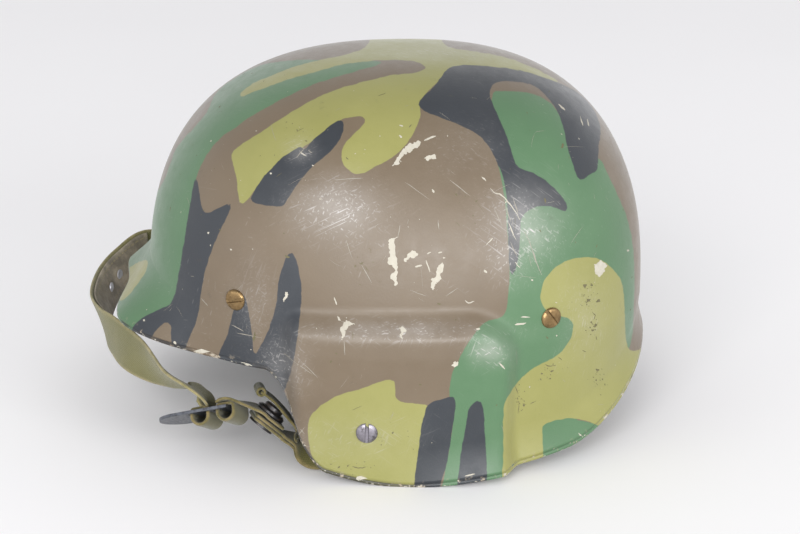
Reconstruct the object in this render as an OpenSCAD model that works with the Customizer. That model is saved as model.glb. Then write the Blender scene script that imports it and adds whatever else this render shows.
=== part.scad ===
// Composite combat helmet with its webbing suspension and its chin strap hooked over the visor.
// The front is -Y, the wearer's left is +X and +Z is up. Angles around the shell start at the front.

/* [Shell] */
// Length of the dome ahead of its axis
front_half = 137; // [125:1:150]
// Length of the dome behind its axis
rear_half = 127.5; // [116:0.5:140]
// Half of the dome's width
side_half = 114; // [106:1:124]
// Squareness of the dome seen from above
plan_power = 2.4; // [2:0.1:2.8]
// Squareness of the dome seen from the side
dome_power = 2.6; // [2.2:0.1:3]
// Height of the crown over the lowest point of the rim
crown_height = 197; // [185:1:210]
// Height where the dome is widest
equator_height = 72; // [64:1:80]
// Share by which the wall draws in below its widest height, per dome height
wall_taper = 0.09; // [0:0.01:0.15]
// Thickness of the laminate
shell_t = 9; // [7:0.5:11]

/* [Rim] */
// Height of the rim at the brow
brow_height = 68; // [62:1:74]
// Height of the rim at the temple
temple_height = 58.5; // [54:0.5:62]
// Angle of the temple, where the rim starts down to the ear
temple_angle = 54; // [50:1:58]
// Angle where the rim reaches the ear's lower corner
ear_angle = 70; // [66:1:74]
// Height of the ear's lower front corner
ear_corner_height = 6.5; // [4:0.5:9]
// Height of the rim where the neck section starts
neck_height = 10; // [6:1:14]
// Angle where the neck section starts
neck_angle = 130; // [124:1:136]
// Height of the rim at the nape
nape_height = 46; // [40:1:52]
// Thickness of the rubber edge trim
trim_t = 2.4; // [1.5:0.1:3.5]
// Depth of the flat under each ear section, on which the helmet stands
rest_cut = 1; // [0.5:0.1:1.5]

/* [Visor and flare] */
// Reach of the visor ahead of the dome at its middle
visor_reach = 15; // [10:0.5:20]
// Reach of the visor toward its corners
visor_corner_reach = 26; // [20:0.5:30]
// Angle of the visor's corners
visor_corner_angle = 22; // [18:1:28]
// Angle where the visor has run out into the temple
visor_angle = 46; // [42:1:50]
// Height of the visor's sweep
visor_sweep = 26; // [20:1:32]
// Angle over which the visor runs out
visor_fade = 32; // [28:1:36]
// Reach of the flare around the ears and the neck
flare_reach = 6; // [3:0.5:9]
// Height of the flare
flare_sweep = 22; // [16:1:28]
// Angle where the flare starts
flare_angle = 70; // [66:1:76]
// Angle over which the flare comes up
flare_fade = 40; // [32:1:48]

/* [Ear section] */
// How far the ear section stands out of the dome
ear_out = 9; // [5:0.5:12]
// Height of the ear section's upper edge
ear_top = 95; // [88:1:102]
// Angle of the ear section's middle
ear_middle = 88; // [84:1:92]
// Half of the ear section's length
ear_half_length = 60; // [52:1:66]
// Radius of its upper front corner
ear_front_radius = 12; // [8:1:20]
// Radius of its upper rear corner
ear_rear_radius = 28; // [20:1:36]
// Width of the slope between the dome and the ear section
ear_slope = 14; // [10:1:20]

/* [Fasteners] */
// Diameter of the screw heads
head_d = 11; // [9:0.5:13]
// Height of the screw heads
head_t = 1.8; // [1.2:0.1:2.6]
// Width of the screwdriver slots
slot_w = 1.6; // [1:0.1:2.2]
// Diameter of the screw shanks
shank_d = 5; // [4:0.5:6]
// Diameter of the nuts' flanges
flange_d = 15; // [13:0.5:17]
// Thickness of the nuts' flanges
flange_t = 1.5; // [1:0.1:2.5]
// Angle of the front suspension screws
front_screw_angle = 47.5; // [42:1:50]
// Height of the front suspension screws
front_screw_height = 94; // [90:1:98]
// Angle of the rear suspension screws
rear_screw_angle = 125; // [119:1:127]
// Height of the rear suspension screws
rear_screw_height = 85; // [82:1:96]
// Angle of the chin strap screws
chin_screw_angle = 79.5; // [76:1:82]
// Height of the chin strap screws
chin_screw_height = 31; // [29:1:36]

/* [Suspension] */
// Gap between the curved wall and the flat plates bolted to it
seat_gap = 0.9; // [0.8:0.05:1]
// Gap between the shell and the suspension band
band_gap = 14; // [12:0.5:18]
// Width of the suspension webbing
band_w = 25; // [20:1:28]
// Thickness of the suspension webbing
band_t = 1.6; // [1.2:0.1:2]
// Height of the band's lower edge
band_bottom = 75; // [70:1:78]
// Thickness of the hangers
hanger_t = 1.4; // [1:0.1:2]
// Width of the hangers
hanger_w = 16; // [14:1:20]
// Width of the crown straps
crown_strap_w = 20; // [16:1:24]
// Space between the shell and the crown straps at the top
crown_gap = 20; // [14:1:26]
// Radius of the ring that the crown cord makes
cord_ring_r = 27; // [24:1:34]
// Diameter of the crown cord
cord_d = 4; // [3:0.5:5]

/* [Headband] */
// Gap between the suspension band and the headband
headband_gap = 6; // [5:0.5:8]
// Width of the headband
headband_w = 34; // [30:1:44]
// Thickness of the headband
headband_t = 3; // [2:0.5:4]
// Half of the opening at the back of the headband
headband_open = 24; // [20:1:28]
// Width of the size strap across the opening
size_strap_w = 20; // [16:1:24]
// Width of a clip
clip_w = 11; // [9:1:12]

/* [Chin strap] */
// Width of the chin strap
strap_w = 22; // [18:1:24]
// How far the stowed strap stands ahead of the visor
strap_stand_off = 15; // [13:0.5:18]
// Thickness of the chin strap
strap_t = 1.8; // [1.4:0.1:2.2]
// Thickness of its lining
lining_t = 1.2; // [0.8:0.1:1.6]
// Thickness of the doubled webbing at the anchors
anchor_strap_t = 3.6; // [3:0.1:4.2]
// Width of the webbing at the anchors
anchor_strap_w = 20; // [16:1:22]
// Distance between the shell and the anchor plates
eye_gap = 8; // [6.5:0.5:10]
// Distance between an anchor's eye and its bar
eye_drop = 14; // [13:0.5:18]
// Thickness of the anchor plates
eye_t = 1.6; // [1.2:0.1:2]
// Radius of the snap fastener's cap
snap_r = 8; // [7:0.5:9]
// Thickness of the adjuster plates
adjuster_t = 1.6; // [1.2:0.1:2]

/* [Hidden] */
$fn = 48;

half_turn = [
    0, 6, 12, 18, 24, 30, 36, 41, 45, 49, 52, 55, 58, 61, 64, 67, 70, 75, 80, 85, 90, 95, 100, 104,
    108, 111, 114, 117, 120, 123, 127, 132, 138, 144, 150, 156, 162, 168, 174, 180];
columns = 2 * len(half_turn) - 2;
dome_rows = 10;
belt_rows = 5;
wall_rows = 8;
play = 0.1;
soft_gap = 0.3;
polygon_sides = 120;

// Basic functions
function ramp(t) = let (u = min(max(t, 0), 1)) u * u * (3 - 2 * u);
function mix(a, b, t) = a + (b - a) * t;
function unit(v) = v / norm(v);
function flat(p) = [p.x, p.y];

// The helmet stands on the flats under its ears, and its box is centred in plan
dome_height = crown_height - equator_height;
front_reach = front_half + visor_reach + strap_stand_off;
rear_reach = rear_half * dome_share_at(nape_height) + flare_reach;
origin_y = (front_reach - rear_reach) / 2;
module place() translate([0, origin_y, -rest_cut]) children();

// Outline of the dome from above, as a radius at an angle
function plan(a) = let (
        c = abs(cos(a)) / (cos(a) > 0 ? front_half : rear_half),
        s = abs(sin(a)) / side_half
    ) pow(pow(c, plan_power) + pow(s, plan_power), -1 / plan_power);

// Height of the rim at an angle from the front
function rim(angle) = let (a = abs(angle))
    a < temple_angle ? mix(brow_height, temple_height, ramp(a / temple_angle)) :
    a < ear_angle ? mix(temple_height, ear_corner_height,
                        ramp((a - temple_angle) / (ear_angle - temple_angle))) :
    a < 90 ? ear_corner_height * pow((90 - a) / (90 - ear_angle), 2) :
    a < neck_angle ? neck_height * pow((a - 90) / (neck_angle - 90), 1.2) :
    mix(neck_height, nape_height, pow(sin(90 * (a - neck_angle) / (180 - neck_angle)), 1.5));

// Share of the plan radius at a height
function dome_share_at(z) = let (h = (z - equator_height) / dome_height)
    h > 0 ? pow(max(1 - pow(min(h, 1), dome_power), 0), 1 / dome_power) : 1 + wall_taper * h;

// Distance outside the ear section's outline, negative inside
function ear_distance(angle, z) = let (
        along = (abs(angle) - ear_middle) * side_half * PI / 180,
        r = along > 0 ? ear_rear_radius : ear_front_radius,
        q = [abs(along) - ear_half_length + r, z - ear_top + r]
    ) norm([max(q.x, 0), max(q.y, 0)]) + min(max(q.x, q.y), 0) - r;

// Outer radius of the shell at an angle and a height
function base_radius(angle, z) = plan(angle) * dome_share_at(z);
function shell_radius(angle, z) = let (
        a = abs(angle),
        up = z - rim(a),
        visor_lip = mix(visor_reach, visor_corner_reach, ramp(a / visor_corner_angle))
            * ramp((visor_angle - a) / visor_fade),
        flare_lip = flare_reach * ramp((a - flare_angle) / flare_fade)
    ) base_radius(a, z)
      + ear_out * ramp(-ear_distance(a, z) / ear_slope)
      + visor_lip * pow(min(max(1 - up / visor_sweep, 0), 1), 1.4)
      + flare_lip * pow(min(max(1 - up / flare_sweep, 0), 1), 1.6);

function around(angle, r, z) = [r * sin(angle), -r * cos(angle), z];
function outer_point(angle, z) = around(angle, shell_radius(angle, z), z);
function base_point(angle, z) = around(angle, base_radius(angle, z), z);
function base_normal(angle, z) = let (e = 0.5)
    unit(cross(base_point(angle + e, z) - base_point(angle - e, z),
               base_point(angle, min(z + e, crown_height)) - base_point(angle, z - e)));
function inner_point(angle, z) = outer_point(angle, z) - shell_t * base_normal(angle, z);

// Heights of the rows of points, from the crown to the top of the edge trim
belt_top = ear_top + 2;
belt_bottom = max(ear_top - ear_slope - 2, brow_height + 2 * trim_t);
function row_height(angle, i) =
    i <= dome_rows ? mix(belt_top, crown_height, pow(cos(90 * i / dome_rows), 2 / dome_power)) :
    i <= dome_rows + belt_rows ? mix(belt_top, belt_bottom, (i - dome_rows) / belt_rows) :
    mix(belt_bottom, rim(angle) + trim_t, (i - dome_rows - belt_rows) / wall_rows);
rows = dome_rows + belt_rows + wall_rows;
function column_angle(j) = j < len(half_turn) ? half_turn[j] : -half_turn[columns - j];

// Directions of the dome's plan
function plan_normal(angle) = let (
        p = base_point(angle, equator_height),
        half = p.y < 0 ? front_half : rear_half,
        nx = sign(p.x) * pow(abs(p.x), plan_power - 1) / pow(side_half, plan_power),
        ny = sign(p.y) * pow(abs(p.y), plan_power - 1) / pow(half, plan_power)
    ) unit([nx, ny, 0]);

// A frame whose Z axis points out of the shell, level, and whose Y axis is up
module on_shell(angle, z) {
    n = plan_normal(angle);
    p = outer_point(angle, z);
    multmatrix([[-n.y, 0, n.x, p.x], [n.x, 0, n.y, p.y], [0, 1, 0, p.z], [0, 0, 0, 1]]) children();
}

// A frame at a point from two directions at right angles
module in_frame(o, x, y) {
    z = cross(x, y);
    multmatrix([[x.x, y.x, z.x, o.x], [x.y, y.y, z.y, o.y], [x.z, y.z, z.z, o.z], [0, 0, 0, 1]]) children();
}

// A flat strap of width w and thickness t along a path, with its width along the across directions
function tangent(path, i) = let (last = len(path) - 1)
    unit(path[min(i + 1, last)] - path[max(i - 1, 0)]);
function squared(a, t) = unit(a - (a * t) * t);
function ribbon_ring(c, a, n, w, t) = [
    for (s = [[-1, -1], [1, -1], [1, 1], [-1, 1]]) c + a * s[0] * w / 2 + n * s[1] * t / 2];
module ribbon(path, across, w, t, lift = 0, turned = false) {
    count = len(path);
    rings = [for (i = [0 : count - 1]) let (
            d = tangent(path, i),
            a = squared(across[i], d),
            n = cross(d, a)
        ) ribbon_ring(path[i] + n * lift, a, n, w, t)];
    points = [for (ring = rings) each ring];
    sides = [for (i = [0 : count - 2], k = [0 : 3]) each let (
            a = 4 * i + k, b = 4 * i + (k + 1) % 4
        ) turned ? [[a, a + 4, b], [b, a + 4, b + 4]] : [[a, b + 4, b], [a, a + 4, b + 4]]];
    last = 4 * (count - 1);
    ends = [[0, 1, 2], [0, 2, 3], [last, last + 2, last + 1], [last, last + 3, last + 2]];
    polyhedron(points, concat(sides, ends), convexity = 8);
}

// A smooth path through points, with k steps between them
function spline_at(p, i, t) = let (
        a = p[max(i - 1, 0)], b = p[i], c = p[i + 1], d = p[min(i + 2, len(p) - 1)]
    ) b + 0.5 * ((c - a) * t + (2 * a - 5 * b + 4 * c - d) * t * t
                 + (3 * b - a - 3 * c + d) * t * t * t);
function spline(p, k) = [
    for (i = [0 : len(p) - 2], s = [0 : k - 1]) spline_at(p, i, s / k), p[len(p) - 1]];

// Places of the fasteners
suspension_screws_at = [
    [front_screw_angle, front_screw_height], [-front_screw_angle, front_screw_height],
    [rear_screw_angle, rear_screw_height], [-rear_screw_angle, rear_screw_height],
    [180, rear_screw_height]
];
pivot = outer_point(chin_screw_angle, chin_screw_height);
module at_pivot(side) multmatrix([
    [0, 0, side, side * pivot.x], [side, 0, 0, pivot.y], [0, 1, 0, pivot.z], [0, 0, 0, 1]]) children();

shank_r = shank_d / 2;
bore_r = shank_r + play;
flange_r = flange_d / 2;
nut_r = shank_r + 2;
nut_t = flange_t + 2;
slot_depth = head_t * 0.55;
head_seat = 0.5;

module screw(length) {
    difference() {
        rotate_extrude() polygon([
            [0, -length], [shank_r, -length], [shank_r, 0], [head_d / 2, 0], [head_d / 2, head_t * 0.4],
            [head_d / 2 - head_t * 0.5, head_t], [0, head_t]]);
        translate([-head_d, -slot_w / 2, head_t - slot_depth]) cube([2 * head_d, slot_w, head_t]);
    }
}

// Hole for a screw through the shell, with a flat seat for its head
module screw_hole() {
    translate([0, 0, -2 * shell_t]) cylinder(r = bore_r, h = 4 * shell_t);
    translate([0, 0, -head_seat]) cylinder(r = head_d / 2 + play, h = shell_t);
}

// Shell of the helmet, open below, with its screw holes
function cell(i, j) = (i - 1) * columns + j % columns;
module shell() place() color("olivedrab") {
    size = rows * columns;
    outer = [for (i = [1 : rows], j = [0 : columns - 1]) let (a = column_angle(j))
        outer_point(a, row_height(a, i))];
    inner = [for (i = [1 : rows], j = [0 : columns - 1]) let (a = column_angle(j))
        inner_point(a, row_height(a, i))];
    points = concat(outer, inner, [[0, 0, crown_height], [0, 0, crown_height - shell_t]]);
    top = 2 * size;
    caps = [for (j = [0 : columns - 1]) each [
        [top, cell(1, j + 1), cell(1, j)],
        [top + 1, size + cell(1, j), size + cell(1, j + 1)]]];
    walls = [for (i = [1 : rows - 1], j = [0 : columns - 1]) each let (
            a = cell(i, j), b = cell(i, j + 1), c = cell(i + 1, j + 1), d = cell(i + 1, j)
        ) [[a, b, c], [a, c, d], [size + a, size + c, size + b], [size + a, size + d, size + c]]];
    lip = [for (j = [0 : columns - 1]) each let (a = cell(rows, j), b = cell(rows, j + 1)) [
        [a, b, size + b], [a, size + b, size + a]]];
    difference() {
        polyhedron(points, concat(caps, walls, lip), convexity = 10);
        for (s = suspension_screws_at) on_shell(s[0], s[1]) screw_hole();
        for (side = [-1, 1]) at_pivot(side) screw_hole();
    }
}

// Rubber strip under the rim, cut flat below the ears
module edge_trim() place() color("darkolivegreen") {
    bevel = trim_t * 0.4;
    profile = [for (j = [0 : columns - 1]) let (
            a = column_angle(j),
            high = rim(a) + trim_t,
            out = outer_point(a, high),
            in = inner_point(a, high),
            across = unit([out.x - in.x, out.y - in.y, 0]),
            down = [0, 0, -trim_t],
            up = [0, 0, bevel]
        ) [out, out + down + up, out + down - across * bevel,
           in + down + across * bevel, in + down + up, in]];
    corners = len(profile[0]);
    points = [for (ring = profile) each ring];
    faces = [for (j = [0 : columns - 1], k = [0 : corners - 1]) each let (
            a = j * corners + k, b = j * corners + (k + 1) % corners,
            c = ((j + 1) % columns) * corners + (k + 1) % corners, d = ((j + 1) % columns) * corners + k
        ) [[a, d, b], [b, d, c]]];
    reach = 2 * (front_half + rear_half);
    difference() {
        polyhedron(points, faces, convexity = 10);
        translate([-reach / 2, -reach / 2, rest_cut - reach]) cube(reach);
    }
}

// Suspension screws with slotted heads, through the shell
module suspension_screws() place() color("darkkhaki")
    for (s = suspension_screws_at) on_shell(s[0], s[1])
        translate([0, 0, -head_seat]) screw(shell_t - head_seat + seat_gap + hanger_t + nut_t);

// Flanged nuts inside the hangers
module flanged_nut() difference() {
    union() {
        cylinder(r = flange_r, h = flange_t);
        cylinder(r = nut_r, h = nut_t, $fn = 6);
    }
    translate([0, 0, -1]) cylinder(r = shank_r + play / 2, h = nut_t + 2);
}
module suspension_nuts() place() color("dimgray")
    for (s = suspension_screws_at) on_shell(s[0], s[1])
        translate([0, 0, -shell_t - seat_gap - hanger_t - play]) rotate([180, 0, 0]) flanged_nut();

// Hooked hanger plates that carry the suspension band
band_top = band_bottom + band_w;
hanger_top = shank_r + 2;
hook_bow = 0.5;
function draw_in(angle, z) = plan(angle) * (1 - dome_share_at(z));
module hanger(angle, z) {
    wall = shell_t + seat_gap;
    leg = shell_t + band_gap - draw_in(angle, z) - soft_gap;
    far = leg + band_t + 2 * soft_gap + hook_bow;
    low = band_bottom - z - soft_gap;
    lip = low + band_w / 3;
    bend = -flange_r - 1;
    turn = max(low + 2, bend - 0.8 * (leg - wall));
    difference() {
        in_frame([0, 0, 0], [0, 0, -1], [0, 1, 0]) translate([0, 0, -hanger_w / 2])
            linear_extrude(hanger_w) polygon([
                [wall, hanger_top], [wall + hanger_t, hanger_top], [wall + hanger_t, bend],
                [leg, turn], [leg, low], [far, low], [far, lip], [far + hanger_t, lip],
                [far + hanger_t, low - hanger_t], [leg - hanger_t, low - hanger_t],
                [leg - hanger_t, turn - hanger_t / 2], [wall, bend - hanger_t / 2]]);
        translate([0, 0, -2 * shell_t]) cylinder(r = bore_r, h = 2 * shell_t);
    }
}
module suspension_hangers() place() color("slategray")
    for (s = suspension_screws_at) on_shell(s[0], s[1]) hanger(s[0], s[1]);

// Rings that follow the dome's plan at a depth inside it
function plan_point(angle, depth) =
    flat(base_point(angle, equator_height) - plan_normal(angle) * depth);
function plan_ring(depth) = [for (k = [0 : polygon_sides - 1]) plan_point(360 * k / polygon_sides, depth)];
module hoop(depth, t, low, high) translate([0, 0, low]) linear_extrude(high - low) difference() {
    polygon(plan_ring(depth));
    polygon(plan_ring(depth + t));
}
band_depth = shell_t + band_gap;
module suspension_band() place() color("olive") hoop(band_depth, band_t, band_bottom, band_top);

// Crown straps from the band up to the cord
crown_strap_angle = 30;
strap_bow = 0.9;
strap_foot_depth = band_depth + band_t + soft_gap + strap_bow + band_t / 2;
crown_top = crown_height - shell_t - crown_gap;
hem_in = cord_d / 2 + soft_gap;
hem_out = hem_in + band_t;
arc_steps = 14;
function crown_arc(foot) = let (
        reach = norm(foot),
        last = acos(pow((cord_ring_r + hem_out - band_t / 2) / reach, dome_power / 2))
    ) [for (k = [0 : arc_steps]) let (p = last * k / arc_steps)
        concat(foot * pow(cos(p), 2 / dome_power),
               band_top + (crown_top - band_top) * pow(sin(p), 2 / dome_power))];
hem_height = crown_arc(plan_point(90, strap_foot_depth))[arc_steps].z;
module crown_strap(angle) {
    foot = plan_point(angle, strap_foot_depth);
    side = plan_normal(angle);
    low_way = [-side.y, side.x, 0];
    high_way = unit([-foot.y, foot.x, 0]);
    arc = crown_arc(foot);
    drop = arc[arc_steps].z - hem_height;
    seated = [for (k = [0 : arc_steps]) arc[k] - [0, 0, drop * k / arc_steps]];
    path = concat([concat(foot, band_bottom + band_w / 3)], seated);
    across = [for (k = [0 : len(path) - 1]) let (t = ramp(k / arc_steps))
        unit(low_way * (1 - t) + high_way * t)];
    half_hem = asin(crown_strap_w / 2 / (cord_ring_r + hem_out));
    ribbon(path, across, crown_strap_w, band_t);
    translate([0, 0, hem_height]) rotate([0, 0, atan2(foot.y, foot.x) - half_hem])
        rotate_extrude(angle = 2 * half_hem) translate([cord_ring_r, 0]) difference() {
            circle(hem_out);
            circle(hem_in);
        }
}
module crown_strap_front_left() place() color("olive") crown_strap(crown_strap_angle);
module crown_strap_front_right() place() color("olive") crown_strap(-crown_strap_angle);
module crown_strap_left() place() color("olive") crown_strap(90);
module crown_strap_right() place() color("olive") crown_strap(-90);
module crown_strap_rear_left() place() color("olive") crown_strap(180 - crown_strap_angle);
module crown_strap_rear_right() place() color("olive") crown_strap(crown_strap_angle - 180);

// Cord through the hems, knotted at the front
knot_r = cord_d * 0.9;
tail_length = 24;
module crown_cord() place() color("darkolivegreen") translate([0, 0, hem_height]) {
    rotate_extrude() translate([cord_ring_r, 0]) circle(d = cord_d);
    translate([0, -cord_ring_r, 0]) {
        sphere(knot_r);
        for (side = [-1, 1]) rotate([0, side * 22, 0]) translate([0, 0, -tail_length])
            cylinder(d = cord_d * 0.8, h = tail_length);
    }
}

// Headband, open at the back
headband_depth = band_depth + band_t + headband_gap;
headband_bottom = band_top - headband_w;
module headband() place() color("saddlebrown") difference() {
    hoop(headband_depth, headband_t, headband_bottom, band_top);
    translate([-headband_open, 0, headband_bottom - 1])
        cube([2 * headband_open, rear_half, headband_w + 2]);
}

// Clips from the band's upper edge to the headband
clip_angles = [12, 66, 107, 165];
clip_t = 0.8;
clip_leg = 6;
module clip(angle) {
    n = plan_normal(angle);
    p = base_point(angle, equator_height);
    outside = band_depth - soft_gap;
    inside = headband_depth - soft_gap;
    top = band_top + soft_gap;
    in_frame([p.x, p.y, 0], -n, [0, 0, 1]) translate([0, 0, -clip_w / 2]) linear_extrude(clip_w) polygon([
        [outside - clip_t, top - clip_leg], [outside - clip_t, top + clip_t], [inside, top + clip_t],
        [inside, top - clip_leg], [inside - clip_t, top - clip_leg], [inside - clip_t, top],
        [outside, top], [outside, top - clip_leg]]);
}
module headband_clips() place() color("silver")
    for (a = clip_angles, side = [-1, 1]) clip(side * a);

// Size strap and its buckle across the opening at the back of the headband
size_strap_t = 1.2;
size_strap_end = 14;
size_strap_bottom = headband_bottom + (headband_w - clip_leg - size_strap_w) / 2;
module size_strap() place() color("olive") intersection() {
    hoop(headband_depth - soft_gap - size_strap_t, size_strap_t,
         size_strap_bottom, size_strap_bottom + size_strap_w);
    translate([-headband_open - size_strap_end, 0, 0])
        cube([2 * (headband_open + size_strap_end), rear_half, band_top]);
}
buckle_wall = 1.6;
buckle_length = 6;
module size_buckle() place() color("dimgray") {
    gap = 2 * soft_gap;
    right = headband_open - soft_gap;
    back = plan_point(180, headband_depth - soft_gap - size_strap_t).y + gap;
    low = size_strap_bottom - gap;
    front = plan_point(165, headband_depth).y - gap;
    difference() {
        translate([right - buckle_length, front - buckle_wall, low - buckle_wall])
            cube([buckle_length, back - front + 2 * buckle_wall, size_strap_w + 2 * gap + 2 * buckle_wall]);
        translate([right - buckle_length - 1, front, low])
            cube([buckle_length + 2, back - front, size_strap_w + 2 * gap]);
    }
}

// Chin strap screws and the flanged bushings that the anchor plates turn on
pin_r = shank_r + 1;
shoulder_r = pin_r + 2.5;
eye_depth = shell_t + eye_gap;
bushing_end = eye_depth + eye_t + 2 * soft_gap + flange_t;
module chin_screws() place() color("darkgray")
    for (side = [-1, 1]) at_pivot(side)
        translate([0, 0, -head_seat]) screw(bushing_end - head_seat);
module chin_nuts() place() color("dimgray")
    for (side = [-1, 1]) at_pivot(side) rotate_extrude() {
        near = shank_r + play / 2;
        polygon([
            [near, -shell_t - seat_gap], [shoulder_r, -shell_t - seat_gap],
            [shoulder_r, soft_gap - eye_depth], [pin_r, soft_gap - eye_depth],
            [pin_r, flange_t - bushing_end], [flange_r, flange_t - bushing_end],
            [flange_r, -bushing_end], [near, -bushing_end]]);
    }

// Anchor plates, each with an eye on its bushing and a bar for the webbing
eye_lean = 50;
eye_r = pin_r + 4;
eye_play = 0.08;
bar_w = 4;
slot_gap = 3;
plate_w = anchor_strap_w + 7;
module anchor_plate(side) at_pivot(side) rotate([0, 0, -side * eye_lean]) difference() {
    translate([0, 0, -eye_depth - eye_t]) linear_extrude(eye_t) {
        circle(eye_r);
        polygon([[-eye_r, 0], [-plate_w / 2, -eye_drop], [-plate_w / 2, -eye_drop - bar_w / 2],
                 [plate_w / 2, -eye_drop - bar_w / 2], [plate_w / 2, -eye_drop], [eye_r, 0]]);
    }
    translate([0, 0, -2 * eye_depth]) cylinder(r = pin_r + eye_play, h = 2 * eye_depth);
    translate([-anchor_strap_w / 2 - 1, -eye_drop + bar_w / 2, -2 * eye_depth])
        cube([anchor_strap_w + 2, slot_gap, 2 * eye_depth]);
}
module anchor_plate_left() place() color("gray") anchor_plate(1);
module anchor_plate_right() place() color("gray") anchor_plate(-1);

// Directions and places of the hardware near an anchor, from its pivot
module sided(side) mirror([side < 0 ? 1 : 0, 0, 0]) children();
module station(o, along, across) {
    x = unit(along);
    in_frame(o, x, -squared(across, x)) children();
}
function up_from(along, across) = let (x = unit(along)) -cross(x, squared(across, x));
adjuster_at = pivot + [-35, -84.5, -4.5];
adjuster_along = [0.24, 0.93, 0.27];
adjuster_across = [0.8, -0.35, 0.49];
adjuster_up = up_from(adjuster_along, adjuster_across);
snap_at = pivot + [-32, -51.8, -6];
snap_along = [0, 0.76, -0.65];
snap_across = [0.97, 0.17, 0.2];
snap_up = up_from(snap_along, snap_across);
bar_point = pivot - [eye_depth + eye_t / 2, sin(eye_lean) * eye_drop, cos(eye_lean) * eye_drop];
bar_down = [0, -sin(eye_lean), -cos(eye_lean)];
bar_across = [0, cos(eye_lean), -sin(eye_lean)];

// Layers at the snap, measured up from its middle
anchor_layer = 0.6 - anchor_strap_t / 2;
snap_layer = anchor_layer + anchor_strap_t / 2 + 2 * soft_gap + strap_t / 2;
cap_bottom = snap_layer + strap_t / 2 + play;
base_top = anchor_layer - anchor_strap_t / 2 - play;
base_t = 1.3;
cap_t = 2.8;
cap_step_r = snap_r * 2 / 3;
cap_step_t = 2.4;
post_r = 2.4;
socket_r = post_r + 0.5;
socket_wall_r = socket_r + 1.4;
post_top = cap_bottom + cap_t / 2;
snap_reach = snap_r + 0.5;

// Webbing loop around the bar of an anchor plate
loop_in = norm([bar_w, eye_t]) / 2 + soft_gap;
loop_out = loop_in + strap_t;
module anchor_loop() station(bar_point, bar_down, bar_across) rotate([90, 0, 0]) difference() {
    cylinder(r = loop_out, h = anchor_strap_w, center = true);
    cylinder(r = loop_in, h = anchor_strap_w + 2, center = true);
}
bend_points = [
    bar_point + bar_down * (loop_in + soft_gap), bar_point + bar_down * (loop_out + 1.5),
    pivot + [-21.5, -22.5, -18.5], pivot + [-26, -28, -20.5], pivot + [-30, -34.5, -18]];
bend_across = [bar_across, bar_across, [0.3, 0.6, -0.72], [0.75, 0.1, -0.45], [0.9, 0.35, -0.1]];
bends = len(bend_points);

// Doubled webbing from the left anchor plate to the snap fastener
left_points = concat(bend_points, [for (d = [snap_reach + 4, snap_reach, 1 - snap_r])
    snap_at + snap_along * d + snap_up * anchor_layer]);
left_across = concat(bend_across, [snap_across, snap_across, snap_across]);
module anchor_strap_left() place() color("darkolivegreen") {
    difference() {
        ribbon(spline(left_points, 3), spline(left_across, 3), anchor_strap_w, anchor_strap_t);
        station(snap_at, snap_along, snap_across)
            translate([0, 0, base_top]) cylinder(r = post_r + play, h = 2 * anchor_strap_t);
    }
    anchor_loop();
}

// Doubled webbing from the right anchor plate to its adjuster
loop_top = 2.9;
loop_bar = 16.8;
lower_bar = 2.5;
bar_half = 2.5;
loop_gap = 1.1;
function over_loop(along, t) =
    adjuster_at + adjuster_along * along + adjuster_up * (loop_top + soft_gap + t / 2);
bend_room = 2.3;
function behind_loop(up, t) = adjuster_at + adjuster_up * up
    + adjuster_along * (loop_bar + bar_half + loop_gap + strap_t + bend_room + t);
right_points = concat(bend_points, [
    snap_at + snap_along * snap_r, snap_at - snap_along * snap_r / 2,
    behind_loop(loop_top - anchor_strap_t / 2, anchor_strap_t)]);
right_across = concat(bend_across, [snap_across, snap_across, adjuster_across]);
module anchor_strap_right() place() color("darkolivegreen") sided(-1) {
    ribbon(spline(right_points, 3), spline(right_across, 3), anchor_strap_w, anchor_strap_t);
    anchor_loop();
}

// Snap fastener: stud through the anchor webbing, and the cap with its socket
module snap_stud() place() color("dimgray") station(snap_at, snap_along, snap_across) {
    translate([0, 0, base_top - base_t]) cylinder(r = snap_r - 1, h = base_t);
    translate([0, 0, base_top]) cylinder(r = post_r, h = post_top - base_top);
}
module snap_cap() place() color("dimgray") station(snap_at, snap_along, snap_across) difference() {
    union() {
        translate([0, 0, cap_bottom]) rotate_extrude() polygon([
            [0, 0], [snap_r - 0.5, 0], [snap_r, 0.6], [snap_r, cap_t - 1], [snap_r - 1.2, cap_t],
            [cap_step_r, cap_t], [cap_step_r, cap_t + cap_step_t - 0.6],
            [cap_step_r - 0.8, cap_t + cap_step_t], [0, cap_t + cap_step_t]]);
        translate([0, 0, snap_layer - strap_t / 2]) cylinder(r = socket_wall_r, h = cap_t);
    }
    translate([0, 0, -cap_t]) cylinder(r = socket_r, h = post_top + soft_gap + cap_t);
}

// Webbing that carries the socket, from the left adjuster
snap_strap_points = concat([behind_loop(loop_top - strap_t / 2, strap_t)],
    [for (d = [0.8 - snap_r, 0, snap_reach]) snap_at + snap_up * snap_layer + snap_along * d]);
snap_strap_across = [adjuster_across, snap_across, snap_across, snap_across];
module snap_strap() place() color("olive") difference() {
    ribbon(spline(snap_strap_points, 3), spline(snap_strap_across, 3), anchor_strap_w, strap_t);
    station(snap_at, snap_along, snap_across) cylinder(r = socket_wall_r + soft_gap, h = snap_layer * 2);
}

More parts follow.
